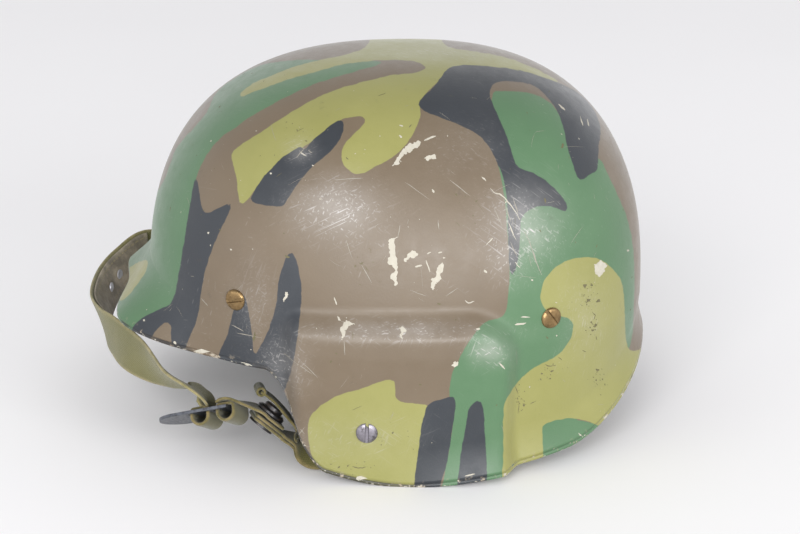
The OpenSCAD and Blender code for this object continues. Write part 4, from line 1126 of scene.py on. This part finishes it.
def build_screws(brass, grey):
    parts = []
    for angle, height, slot in SCREW_PLACES:
        n = plan_normal(np.array(float(angle)))
        at = outer_point(np.array(float(angle)), np.array(float(height)))
        v, faces = slotted_screw(SCREW_LENGTH, slot)
        frame_axes = np.array([[-n[1], n[0], 0], [0, 0, 1], n])
        parts.append((v @ frame_axes + at, faces))
    v, faces = joined(parts)
    obj = new_object("brass_screws", placed(v), faces, "helmet", ["suspension_screws"], smooth=False)
    obj.data.materials.append(brass)
    parts = []
    at = outer_point(np.array(CHIN_ANGLE), np.array(CHIN_HEIGHT))
    for side in (1, -1):
        v, faces = slotted_screw(CHIN_SCREW_LENGTH, CHIN_SLOT)
        axes = np.array([[0, 1, 0], [0, 0, 1], [1, 0, 0]], float)
        parts.append(((v @ axes + at) * (side, 1, 1), faces if side > 0 else turned_over(faces)))
    v, faces = joined(parts)
    obj = new_object("chin_strap_screws", placed(v), faces, "helmet", ["chin_screws"], smooth=False)
    obj.data.materials.append(grey)


# Places and directions of the chin strap's fittings
PIVOT = outer_point(np.array(CHIN_ANGLE), np.array(CHIN_HEIGHT))
EYE_DEPTH, EYE_T, EYE_DROP, EYE_LEAN, BAR_W = SHELL_T + 8.0, 1.6, 14.0, math.radians(50), 4.0
ADJUSTER_AT = PIVOT + [-35, -84.5, -4.5]
ADJUSTER_ALONG = unit(np.array([0.24, 0.93, 0.27]))
ADJUSTER_ACROSS = np.array([0.8, -0.35, 0.49])
ADJUSTER_UP = up_from(ADJUSTER_ALONG, ADJUSTER_ACROSS)
SNAP_AT = PIVOT + [-32, -51.8, -6]
SNAP_ALONG = unit(np.array([0, 0.76, -0.65]))
SNAP_ACROSS = np.array([0.97, 0.17, 0.2])
SNAP_UP = up_from(SNAP_ALONG, SNAP_ACROSS)
BAR_POINT = PIVOT - [EYE_DEPTH + EYE_T / 2, math.sin(EYE_LEAN) * EYE_DROP, math.cos(EYE_LEAN) * EYE_DROP]
BAR_DOWN = np.array([0, -math.sin(EYE_LEAN), -math.cos(EYE_LEAN)])
BAR_ACROSS = np.array([0, math.cos(EYE_LEAN), -math.sin(EYE_LEAN)])
LOOP_IN = math.hypot(BAR_W, EYE_T) / 2 + SOFT_GAP
LOOP_TOP, LOOP_GAP, LOOP_DROP, LOOP_CORNER = 2.9, 1.1, 1.8, 1.6
LOOP_BAR, LOWER_BAR, BAR_HALF, BEND_ROOM = 16.8, 2.5, 2.5, 2.3
SNAP_R = 8.0
ANCHOR_LAYER = 0.6 - ANCHOR_T / 2
SNAP_LAYER = ANCHOR_LAYER + ANCHOR_T / 2 + 2 * SOFT_GAP + STRAP_T / 2
BEND_POINTS = [
    BAR_POINT + BAR_DOWN * (LOOP_IN + SOFT_GAP), BAR_POINT + BAR_DOWN * (LOOP_IN + STRAP_T + 1.5),
    PIVOT + [-21.5, -22.5, -18.5], PIVOT + [-26, -28, -20.5], PIVOT + [-30, -34.5, -18],
]
BEND_ACROSS = [BAR_ACROSS, BAR_ACROSS, (0.3, 0.6, -0.72), (0.75, 0.1, -0.45), (0.9, 0.35, -0.1)]


def over_loop(along, rise):
    return ADJUSTER_AT + ADJUSTER_ALONG * along + ADJUSTER_UP * (LOOP_TOP + SOFT_GAP + rise / 2)


def behind_loop(up, t):
    along = LOOP_BAR + BAR_HALF + LOOP_GAP + STRAP_T + BEND_ROOM + t
    return ADJUSTER_AT + ADJUSTER_UP * up + ADJUSTER_ALONG * along


def ahead(share_x, share_y, z):
    """A point before the visor, in shares of the shell's half width and of the strap's stand-off."""
    y = -FRONT_HALF - VISOR_REACH - STRAP_STAND_OFF * share_y
    return np.array([SIDE_HALF * share_x, y, BROW_HEIGHT + z])


# How much thinner than half each of two layers is, and how far it is shifted outward
LAYER_CUT, LAYER_SHIFT = 0.06, 0.02


def doubled(band, path, across, width, t):
    """Two layers of webbing, one on the other, with a narrow seam between them."""
    for side in (-1, 1):
        band.add(path, across, width, t / 2 - LAYER_CUT, lift=side * (t / 4 + LAYER_SHIFT))


def bar_wrap(band):
    """The turn of webbing round the bar of the anchor plate."""
    turn = np.linspace(0, 2 * np.pi, 40, endpoint=False)
    x = unit(BAR_DOWN)
    side = squared(BAR_ACROSS, x)
    r = LOOP_IN + STRAP_T / 2
    path = BAR_POINT + x * r * np.cos(turn)[:, None] + np.cross(x, side) * r * np.sin(turn)[:, None]
    band.add(path, side, ANCHOR_W, STRAP_T, closed=True)


def adjuster_loop(band, along):
    """A loop of webbing round an adjuster's bar, this far along the adjuster."""
    wide, top, corner = BAR_HALF + LOOP_GAP + STRAP_T / 2, LOOP_TOP - STRAP_T / 2, LOOP_CORNER
    a = np.linspace(np.pi, 2 * np.pi, 22)
    low = np.stack([wide * np.cos(a), wide * np.sin(a) - LOOP_DROP], 1)
    b = np.linspace(0, np.pi / 2, 6)
    right = np.stack([wide - corner + corner * np.cos(b), top - corner + corner * np.sin(b)], 1)
    left = np.stack([-(wide - corner) - corner * np.sin(b), top - corner + corner * np.cos(b)], 1)
    flat = np.concatenate([low, right, left])
    x, side = ADJUSTER_ALONG, squared(ADJUSTER_ACROSS, ADJUSTER_ALONG)
    path = ADJUSTER_AT + x * (along + flat[:, :1]) + ADJUSTER_UP * flat[:, 1:]
    band.add(path, side, ANCHOR_W, STRAP_T, closed=True)


# Points in each span of a strap's course
STEPS, CHIN_STEPS = 16, 24
SNAP_LEFT = [
    SNAP_AT + SNAP_ALONG * d + SNAP_UP * ANCHOR_LAYER for d in (SNAP_R + 4.5, SNAP_R + 0.5, 1 - SNAP_R)
]


def build_anchor_left(look):
    band = Band()
    path, across = spline(BEND_POINTS + SNAP_LEFT, STEPS), spline(BEND_ACROSS + [SNAP_ACROSS] * 3, STEPS)
    doubled(band, path, across, ANCHOR_W, ANCHOR_T)
    bar_wrap(band)
    band.finish("anchor_webbing_left", "left_anchor", ["anchor_strap_left"], look, "strap_webbing")


def build_anchor_right(look):
    points = BEND_POINTS + [
        SNAP_AT + SNAP_ALONG * SNAP_R, SNAP_AT - SNAP_ALONG * SNAP_R / 2,
        behind_loop(LOOP_TOP - ANCHOR_T / 2, ANCHOR_T),
    ]
    ways = BEND_ACROSS + [SNAP_ACROSS, SNAP_ACROSS, ADJUSTER_ACROSS]
    band = Band()
    doubled(band, spline(points, STEPS), spline(ways, STEPS), ANCHOR_W, ANCHOR_T)
    bar_wrap(band)
    band.finish("anchor_webbing_right", "chin_strap_assembly", ["anchor_strap_right"], look,
                "strap_webbing", True)


def build_snap_strap(look):
    on_loop = LOOP_TOP + STRAP_T / 2 + SOFT_GAP
    points = [ADJUSTER_AT + ADJUSTER_ALONG * (LOOP_BAR + d) + ADJUSTER_UP * on_loop for d in (-2.6, 1.5)]
    points += [SNAP_AT + SNAP_UP * SNAP_LAYER + SNAP_ALONG * d for d in (0.8 - SNAP_R, 0, SNAP_R + 0.5)]
    ways = [ADJUSTER_ACROSS] * 2 + [SNAP_ACROSS] * 3
    band = Band()
    band.add(spline(points, STEPS), spline(ways, STEPS), ANCHOR_W, STRAP_T)
    band.finish("snap_webbing", "chin_strap_assembly", ["snap_strap"], look, "strap_webbing")


# Width of the pull tab, its height over the anchor strap, and the rolled end's radius and thickness
PULL_W, PULL_LAYER, ROLL_R, ROLL_T = ANCHOR_W - 2, 2.2, 1.9, 1.7


def build_pull_tab(look):
    way = unit(SNAP_LEFT[0] - BEND_POINTS[3])
    lift = -up_from(way, BEND_ACROSS[4])
    root = BEND_POINTS[4] + lift * (ANCHOR_T / 2 + PULL_LAYER + STRAP_T / 2)
    points = [
        root, root + way * 3, PIVOT + [-34, -40, -5.5], PIVOT + [-36.5, -47.5, 3], PIVOT + [-37, -54.5, 8.5],
    ]
    ways = [BEND_ACROSS[4], BEND_ACROSS[4], (0.95, 0.1, 0.13), (0.95, 0.09, 0.22), (0.95, 0.05, 0.28)]
    band = Band()
    band.add(spline(points, STEPS), spline(ways, STEPS), PULL_W, STRAP_T)
    x = unit(points[4] - points[3])
    side = squared(np.array(ways[4]), x)
    up = np.cross(x, side)
    turn = np.linspace(0, 2 * np.pi, 30, endpoint=False)
    roll = points[4] + (x * np.cos(turn)[:, None] + up * np.sin(turn)[:, None]) * ROLL_R
    band.add(roll, side, PULL_W, ROLL_T, closed=True)
    band.finish("pull_webbing", "pull_tab", ["pull_tab"], look, "strap_webbing")


def build_adjuster_loops(look):
    for name, mirror in (("left", False), ("right", True)):
        band = Band()
        for along in (LOWER_BAR, LOOP_BAR):
            adjuster_loop(band, along)
        band.finish("loop_webbing_" + name, "chin_strap_assembly", ["adjuster_loops_" + name], look,
                    "strap_webbing", mirror)


def chin_course():
    """The chin strap's path and the way across it, from the left adjuster round to the right one."""
    on_bar = over_loop(LOWER_BAR, STRAP_T)
    rise = [on_bar, on_bar + ADJUSTER_UP * 4, ADJUSTER_AT + [-0.5, -7, 16]]
    rise_ways = [ADJUSTER_ACROSS, ADJUSTER_ACROSS, np.array([0.93, 0, 0.37])]
    front = [
        ahead(0.61, -1.6, -23.5), ahead(0.44, -0.47, -20), ahead(0.28, 0.24, -18), ahead(0.14, 0.7, -18),
        ahead(-0.07, 1, -17), ahead(-0.35, 0.9, -15), ahead(-0.54, 0.45, -11.5), ahead(-0.68, -0.35, -7),
        ahead(-0.75, -1.5, -14),
    ]
    front_ways = [
        (0.78, 0.33, 0.53), (0.2, 0.4, 0.88), (0, 0.1, 1), (-0.05, -0.2, 0.97), (0, -0.45, 0.88),
        (0, -0.5, 0.86), (0, -0.4, 0.9), (-0.1, -0.15, 0.98), (-0.5, 0.15, 0.83),
    ]
    flip = np.array([-1, 1, 1])
    points = rise + front + [p * flip for p in reversed(rise)]
    ways = rise_ways + [np.array(w) for w in front_ways] + [w * flip for w in reversed(rise_ways)]
    return spline(points, CHIN_STEPS), spline(ways, CHIN_STEPS)


# Where the strap is frayed and where it is lined, as numbers of the points of its course
FRAY_AT, LINED_FROM, LINED_TO = 6.6, 6, 10
FRAYED_THREADS, FRAY_W, FRAY_T, LINING_W, LINING_T = 16, 0.42, 0.3, STRAP_W - 3, 1.2


def add_frays(band, path, across):
    for _ in range(FRAYED_THREADS):
        i = int(FRAY_AT * CHIN_STEPS + RNG.integers(-9, 10))
        d = unit(path[i + 1] - path[i])
        w = squared(across[i], d)
        up = np.cross(d, w)
        foot = path[i] - w * (STRAP_W / 2 - 0.6) + up * RNG.uniform(-0.6, 0.6)
        end = foot - w * RNG.uniform(1.0, 3.4) + d * RNG.normal(0, 1.2) + up * RNG.normal(0, 0.6)
        bend = (foot + end) / 2 + RNG.normal(0, 0.35, 3)
        band.add(spline([foot, bend, end], 4), d, FRAY_W, FRAY_T)


def build_chin_strap(look, lining):
    path, across = chin_course()
    band = Band()
    band.add(path, across, STRAP_W, STRAP_T)
    add_frays(band, path, across)
    band.finish("chin_webbing", "chin_strap_assembly", ["chin_strap"], look, "strap_webbing")
    span = slice(LINED_FROM * CHIN_STEPS, LINED_TO * CHIN_STEPS + 1)
    band = Band()
    band.add(path[span], across[span], LINING_W, LINING_T, lift=(STRAP_T + LINING_T) / 2 + SOFT_GAP)
    band.finish("chin_lining_leather", "chin_strap_assembly", ["chin_lining"], lining, "lining")


def build_straps(strap, anchor, lining):
    for build in (build_anchor_left, build_anchor_right, build_snap_strap, build_pull_tab,
                  build_adjuster_loops):
        build(anchor)
    build_chin_strap(strap, lining)


# Chips and scratches of the near side, in the view's pixels
CHIP_OUTLINES = [
    [(392, 166), (396, 160), (400, 153), (405, 148), (412, 144), (421, 142), (415, 148), (410, 153),
     (404, 154), (400, 159), (397, 165)],
    [(424, 158), (435, 154), (436, 159), (428, 161)],
    [(388, 241), (393, 238), (398, 237), (397, 262), (397, 275), (395, 286), (393, 280), (392, 265),
     (390, 250)],
    [(404, 261), (407, 255), (412, 250), (418, 255), (415, 258), (410, 257), (406, 262)],
    [(437, 268), (442, 262), (440, 275), (436, 282), (433, 290), (431, 283), (434, 278)],
    [(402, 326), (406, 332), (403, 339), (400, 336)],
    [(594, 264), (600, 260), (607, 265), (605, 271), (599, 277), (595, 272)],
    [(337, 316), (343, 322), (355, 325), (348, 328), (345, 335), (342, 342), (340, 330)],
    [(283, 299), (285, 292), (288, 292), (287, 298), (284, 302)],
    [(150, 341), (157, 342), (165, 345), (158, 346)],
    [(203, 350), (208, 353), (216, 357), (209, 358), (204, 355)],
    [(452, 366), (455, 361), (458, 361), (456, 366)],
    [(466, 478), (476, 474), (492, 477), (505, 480), (498, 484), (480, 484), (470, 483)],
    [(568, 451), (576, 448), (575, 453), (569, 455)],
    [(548, 461), (556, 458), (557, 461), (549, 464)],
    [(310, 464), (316, 470), (320, 474), (314, 471)],
    [(272, 377), (277, 383), (281, 391), (276, 386)],
]
CHIP_STROKES = [
    (2.2, [(424, 141), (430, 138), (436, 136)]), (1.6, [(399, 125), (403, 126)]),
    (2.0, [(399, 135), (402, 138)]), (2.2, [(482, 177), (486, 181)]), (1.8, [(432, 189), (434, 193)]),
    (1.3, [(490, 188), (495, 193), (501, 195), (508, 202), (515, 211), (520, 220)]),
    (1.0, [(524, 230), (530, 243), (535, 258), (539, 269), (542, 275)]), (1.8, [(558, 104), (565, 110)]),
    (1.1, [(580, 116), (583, 126)]), (1.4, [(587, 119), (589, 126)]), (1.0, [(398, 238), (400, 225)]),
    (1.0, [(438, 220), (439, 230)]), (2.0, [(415, 267), (422, 265)]), (1.5, [(426, 260), (430, 272)]),
    (1.6, [(427, 254), (431, 252)]), (1.6, [(438, 253), (442, 252)]), (1.2, [(486, 245), (493, 238)]),
    (2.2, [(484, 270), (487, 273)]), (1.1, [(465, 300), (469, 303), (474, 301)]),
    (2.0, [(515, 325), (526, 323)]), (1.5, [(521, 317), (530, 317)]), (2.0, [(476, 329), (480, 329)]),
    (1.5, [(499, 363), (505, 369)]), (2.4, [(627, 250), (629, 251)]), (1.8, [(531, 280), (533, 280)]),
    (0.9, [(344, 338), (345, 355)]), (1.4, [(334, 297), (337, 305)]), (1.8, [(270, 173), (272, 174)]),
    (1.6, [(312, 165), (314, 166)]), (0.8, [(363, 178), (348, 179), (334, 180)]),
    (1.8, [(230, 249), (232, 250)]), (2.0, [(143, 320), (145, 321)]), (2.4, [(174, 341), (176, 344)]),
    (1.4, [(324, 470), (326, 471)]), (1.5, [(465, 476), (475, 474)]), (1.5, [(578, 433), (583, 437)]),
    (0.9, [(299, 428), (305, 434)]), (0.9, [(305, 427), (299, 435)]), (0.8, [(237, 333), (262, 338)]),
    (0.8, [(232, 325), (244, 331)]), (0.8, [(282, 352), (300, 366), (312, 374)]),
    (0.7, [(300, 360), (318, 378)]), (0.9, [(201, 298), (208, 306)]), (0.8, [(308, 150), (312, 153)]),
    (1.2, [(300, 152), (306, 156)]), (0.9, [(296, 158), (304, 149)]), (1.0, [(505, 205), (511, 222)]),
    (1.2, [(508, 222), (516, 240)]), (0.9, [(513, 198), (518, 214)]), (0.8, [(510, 242), (517, 256)]),
    (1.1, [(515, 262), (520, 268)]), (0.8, [(494, 208), (502, 226)]), (0.8, [(450, 180), (470, 196)]),
    (0.7, [(405, 182), (430, 200)]), (0.8, [(360, 262), (372, 283)]), (0.7, [(346, 240), (352, 258)]),
    (0.7, [(410, 290), (426, 296)]), (0.8, [(446, 296), (458, 288)]),
]
DARK_STROKES = [
    (0.9, [(592, 312), (595, 315), (594, 319)]), (0.8, [(596, 336), (597, 340)]),
    (1.0, [(545, 364), (549, 366), (556, 365)]), (0.9, [(558, 357), (562, 360)]),
    (0.7, [(365, 266), (369, 272)]), (0.6, [(456, 222), (460, 226)]), (0.7, [(515, 386), (518, 394)]),
    (0.6, [(519, 404), (518, 414)]), (0.8, [(582, 350), (586, 352)]), (0.7, [(530, 404), (536, 401)]),
    (0.7, [(352, 410), (362, 406)]), (0.6, [(296, 132), (304, 128)]), (0.6, [(378, 96), (386, 93)]),
    (0.9, [(352, 466), (358, 468), (366, 467)]),
]
# Stained places of the near side: middle and spread in the view's pixels, and how many specks
STAINS = [
    ((588, 296), (9, 14), 46), ((593, 326), (6, 12), 26), ((520, 400), (4, 16), 22),
    ((552, 372), (10, 9), 18), ((598, 380), (9, 12), 22), ((360, 262), (12, 12), 16),
    ((300, 128), (18, 9), 14), ((470, 205), (24, 30), 18), ((355, 466), (16, 4), 16),
    ((385, 440), (22, 16), 12),
]
SPECKS, FINE_MARKS, RIM_CHIPS, DARK_SPECKS = 170, 190, 190, 120
# Strokes thinner than this many pixels are scratches, the others chips
THIN_STROKE = 1.05
# Height of a mark over the paint and the longest side of its triangles, in millimetres
LIFT, SPLIT_LENGTH = 0.05, 2.6
FULL_TURN = 6.3


class Flakes:
    """Thin patches laid on the painted surface, where the paint is chipped or scratched."""

    def __init__(self, surfaces):
        vertices, faces = [], []
        for obj in surfaces:
            start = len(vertices)
            vertices.extend(v.co / MM for v in obj.data.vertices)
            faces.extend(tuple(start + k for k in p.vertices) for p in obj.data.polygons)
        self.tree = BVHTree.FromPolygons(vertices, faces)
        self.vertices, self.faces = [], []

    def seen(self, u, v):
        way = Vector(view_ray(u, v))
        return self.tree.ray_cast(Vector(CAM_AT + SHIFT), way)[0]

    def patch(self, outline):
        centre = sum(outline, Vector()) / len(outline)
        normal = self.tree.find_nearest(centre)[1]
        side = normal.orthogonal().normalized()
        up = normal.cross(side)
        flat = [Vector(((p - centre).dot(side), (p - centre).dot(up), 0)) for p in outline]
        work = [tuple(Vector(flat[k]) for k in t) for t in tessellate_polygon([flat])]
        while work:
            a, b, c = work.pop()
            if (b - a).cross(c - a).z < 0:
                b, c = c, b
            sides = [(b - a).length, (c - b).length, (a - c).length]
            long = max(range(3), key=lambda k: sides[k])
            if sides[long] > SPLIT_LENGTH:
                p = [(a, b, c), (b, c, a), (c, a, b)][long]
                middle = (p[0] + p[1]) / 2
                work.extend([(p[0], middle, p[2]), (middle, p[1], p[2])])
                continue
            start = len(self.vertices)
            for q in (a, b, c):
                place, n, _, _ = self.tree.find_nearest(centre + side * q.x + up * q.y)
                self.vertices.append((place + n * LIFT) * MM)
            self.faces.append((start, start + 1, start + 2))

    def outline(self, pixels, rough=0.2):
        points = [np.array(p, float) for p in pixels]
        for _ in range(3):
            fine = []
            for a, b in zip(points, points[1:] + points[:1]):
                d = b - a
                fine += [a, (a + b) / 2 + np.array([-d[1], d[0]]) * RNG.normal(0, rough)]
            points = fine
        self.mark(points)

    def mark(self, ring):
        """A patch on the surface under these pixels, if the surface lies under all of them."""
        hits = [self.seen(*p) for p in ring]
        if None not in hits:
            self.patch(hits)

    def stroke(self, width, pixels):
        p = spline(pixels, 4) if len(pixels) > 2 else np.linspace(pixels[0], pixels[1], 5)
        p = p + RNG.normal(0, 0.15, p.shape)
        way = unit(np.gradient(p, axis=0) + 1e-9)
        across = np.stack([-way[:, 1], way[:, 0]], 1)
        t = np.linspace(-1, 1, len(p))
        half = width / 2 * (1 - 0.75 * t**2) * RNG.uniform(0.6, 1.25, len(p))
        self.mark([*(p + across * half[:, None]), *(p - across * half[:, None])[::-1]])

    def local(self, degrees, height, shape, turn):
        place = Vector(outer_point(np.array(degrees), np.array(height)) + SHIFT)
        place, normal, _, _ = self.tree.find_nearest(place)
        side = Vector((0, 0, 1)).cross(normal)
        side = side.normalized() if side.length > 0.01 else Vector((1, 0, 0))
        up = normal.cross(side)
        c, s = math.cos(turn), math.sin(turn)
        self.patch([place + side * (c * x - s * y) + up * (s * x + c * y) for x, y in shape])

    def finish(self, name, look):
        obj = new_object(name, self.vertices, self.faces, "helmet", None)
        obj.data.materials.append(look)


def speck(size, stretch):
    count = int(RNG.integers(5, 9))
    a = np.sort(RNG.uniform(0, 2 * np.pi, count))
    r = size * RNG.uniform(0.45, 1.1, count)
    return list(zip(r * np.cos(a) * stretch, r * np.sin(a)))


def thin_mark(length, width):
    x = np.linspace(-length / 2, length / 2, 5)
    bow = RNG.normal(0, 0.04) * length * (1 - (2 * x / length) ** 2)
    half = width / 2 * (1 - 0.8 * (2 * x / length) ** 2)
    return [*zip(x, bow + half), *zip(x[::-1], (bow - half)[::-1])]


def anywhere():
    degrees = RNG.uniform(-180, 180)
    low = float(rim(np.array(abs(degrees)))) + 3
    share = RNG.uniform() ** 0.8
    return degrees, low + (CROWN_HEIGHT - 6 - low) * share


def build_marks(surfaces, cream, pale, scuff):
    chips, scratches, dark = Flakes(surfaces), Flakes(surfaces), Flakes(surfaces)
    for shape in CHIP_OUTLINES:
        chips.outline(shape)
    for width, line in CHIP_STROKES:
        (scratches if width < THIN_STROKE else chips).stroke(width, line)
    for _ in range(SPECKS):
        degrees, height = anywhere()
        shape = speck(0.14 + RNG.exponential(0.17), RNG.uniform(1, 1.8))
        chips.local(degrees, height, shape, RNG.uniform(0, FULL_TURN))
    for _ in range(FINE_MARKS):
        length = 1.5 + RNG.exponential(3.2)
        scratches.local(*anywhere(), thin_mark(length, RNG.uniform(0.08, 0.2)), RNG.uniform(0, FULL_TURN))
    for _ in range(RIM_CHIPS):
        degrees = RNG.uniform(-180, 180)
        height = float(rim(np.array(abs(degrees)))) + RNG.uniform(-0.2, 1.0) + RNG.exponential(0.7)
        shape = speck(0.2 + RNG.exponential(0.35), RNG.uniform(1.2, 3.2))
        chips.local(degrees, max(height, 1.4), shape, RNG.normal(0, 0.3))
    for width, line in DARK_STROKES:
        dark.stroke(width, line)
    for middle, spread, count in STAINS:
        for _ in range(count):
            shape = speck(0.28 + RNG.exponential(0.36), RNG.uniform(1, 2))
            turn = RNG.uniform(0, FULL_TURN)
            u, v = np.array(middle) + RNG.normal(0, 0.6, 2) * spread
            c, s = math.cos(turn), math.sin(turn)
            dark.outline([(u + x * c - y * s, v + x * s + y * c) for x, y in shape], 0.1)
    for _ in range(DARK_SPECKS):
        shape = speck(0.2 + RNG.exponential(0.25), RNG.uniform(1, 3))
        if RNG.uniform() < 0.15:
            shape = thin_mark(2 + RNG.exponential(3), RNG.uniform(0.1, 0.26))
        dark.local(*anywhere(), shape, RNG.uniform(0, FULL_TURN))
    chips.finish("paint_chips", cream)
    scratches.finish("fine_scratches", pale)
    dark.finish("dark_scuffs", scuff)


shell = build_shell()
rim_strip = build_trim()
paint = camouflage_paint()
for obj in (shell, rim_strip):
    obj.data.materials.append(paint)
build_marks([shell, rim_strip], flaked("cream_flakes", color(158, 152, 138), color(184, 180, 168)),
            flaked("pale_marks", color(126, 120, 110), color(152, 147, 136)),
            flaked("dark_scuff", color(82, 78, 56), color(108, 102, 76)))

webbing = woven("suspension_web", WEB_LOW, WEB_HIGH, OLIVE_EDGE, BAND_W, worn=0.35)
strap_look = woven("strap_web", OLIVE_LOW, OLIVE_HIGH, OLIVE_EDGE, STRAP_W)
anchor_look = woven("anchor_web", MUD_LOW, MUD_HIGH, MUD_EDGE, ANCHOR_W, worn=0.55)
leather = hide("headband_leather", color(88, 56, 32), color(122, 82, 50), HEADBAND_W)
lining_look = hide("chin_leather", color(112, 104, 92), color(170, 158, 138), LINING_W)
cord_look = woven("cord_yarn", WEB_LOW, WEB_HIGH, OLIVE_EDGE, 40.0)
brass = metal(
    "worn_brass", color(104, 82, 54), color(168, 142, 102), color(62, 52, 40), 0.26, 0.44, stained=0.35
)
zinc = metal("dull_zinc", color(128, 124, 132), color(172, 168, 176), color(88, 84, 84), 0.3, 0.5)
grey_screw = metal("grey_screw", color(116, 112, 120), color(158, 154, 162), color(74, 70, 72), 0.3, 0.5)
nickel = metal(
    "dull_nickel", color(168, 168, 174), color(204, 204, 208), color(120, 118, 116), 0.3, 0.45, 0.6
)
dark_steel = metal("dark_steel", color(30, 29, 31), color(54, 53, 55), color(80, 66, 54), 0.22, 0.42, 0.5)
plate_steel = metal(
    "plate_steel", color(70, 72, 78), color(118, 122, 130), color(46, 44, 46), 0.24, 0.48, 0.8, 0.5
)

build_inside(webbing, leather)
build_cord(cord_look)
build_screws(brass, grey_screw)
build_straps(strap_look, anchor_look, lining_look)

LOOKS = {
    "suspension_nuts": zinc, "suspension_hangers": zinc, "headband_clips": zinc, "chin_nuts": zinc,
    "size_buckle": dark_steel, "snap_stud": dark_steel, "snap_cap": dark_steel, "lining_rivets": nickel,
    "anchor_plate_left": plate_steel, "anchor_plate_right": plate_steel,
    "adjuster_left": plate_steel, "adjuster_right": plate_steel,
}
for name, look in LOOKS.items():
    NODES[name].data.materials.clear()
    NODES[name].data.materials.append(look)


# Strength of the studio's surround at the horizon and overhead, and half the floor's side in metres
WORLD_LOW, WORLD_HIGH = 1.3, 0.6
FLOOR_HALF = 6.0
SENSOR = 36.0


def add_light(name, at, aim, size, power):
    lamp = bpy.data.lights.new(name, "AREA")
    lamp.shape = "RECTANGLE"
    lamp.size, lamp.size_y = size
    lamp.energy = power
    obj = bpy.data.objects.new(name, lamp)
    obj.location = at
    obj.rotation_euler = (Vector(aim) - Vector(at)).to_track_quat("-Z", "Y").to_euler()
    bpy.context.scene.collection.objects.link(obj)


def build_floor():
    corners = [(x * FLOOR_HALF, y * FLOOR_HALF, 0) for x, y in ((-1, -1), (1, -1), (1, 1), (-1, 1))]
    mesh = bpy.data.meshes.new("studio_floor")
    mesh.from_pydata(corners, [], [(0, 1, 2, 3)])
    floor = bpy.data.objects.new("studio_floor", mesh)
    bpy.context.scene.collection.objects.link(floor)
    s = Shader("studio_white")
    white = s.blend(s.noise(s.position(), 3, 2), color(238, 237, 238), color(242, 241, 242))
    floor.data.materials.append(s.set(color=white, rough=0.9))


def build_world():
    world = bpy.data.worlds.new("studio")
    bpy.context.scene.world = world
    world.use_nodes = True
    tree = world.node_tree
    back = tree.nodes["Background"]
    where = tree.nodes.new("ShaderNodeTexCoord")
    parts = tree.nodes.new("ShaderNodeSeparateXYZ")
    rise = tree.nodes.new("ShaderNodeMapRange")
    for key, value in (("From Min", 0.0), ("From Max", 0.9), ("To Min", WORLD_LOW), ("To Max", WORLD_HIGH)):
        rise.inputs[key].default_value = value
    tree.links.new(where.outputs["Generated"], parts.inputs[0])
    tree.links.new(parts.outputs[2], rise.inputs["Value"])
    tree.links.new(rise.outputs[0], back.inputs[1])
    back.inputs[0].default_value = (0.985, 0.985, 1.0, 1)


def build_lights():
    add_light("key_left", (2.6, -0.9, 1.55), (0, 0, 0.1), (1.3, 1.1), 34)
    add_light("key_right", (2.2, 1.95, 1.0), (0, 0, 0.1), (1.3, 1.0), 28)
    add_light("fill_front", (3.2, 0.3, 0.4), (0, 0, 0.08), (1.8, 0.7), 56)
    add_light("fill_low", (1.6, -2.7, 0.5), (0, 0, 0.06), (1.6, 0.8), 6)


def build_camera():
    lens = bpy.data.cameras.new("photo_camera")
    lens.sensor_width = SENSOR
    lens.lens = SENSOR * CAM_FOCAL_PX / VIEW_W
    lens.clip_start = 0.05
    obj = bpy.data.objects.new("photo_camera", lens)
    pose = Matrix((CAM_RIGHT, CAM_UP, CAM_BACK)).transposed().to_4x4()
    pose.translation = Vector(placed(CAM_AT))
    obj.matrix_world = pose
    bpy.context.scene.collection.objects.link(obj)
    bpy.context.scene.camera = obj


build_floor()
build_world()
build_lights()
build_camera()
bpy.context.scene.view_settings.view_transform = "Standard"
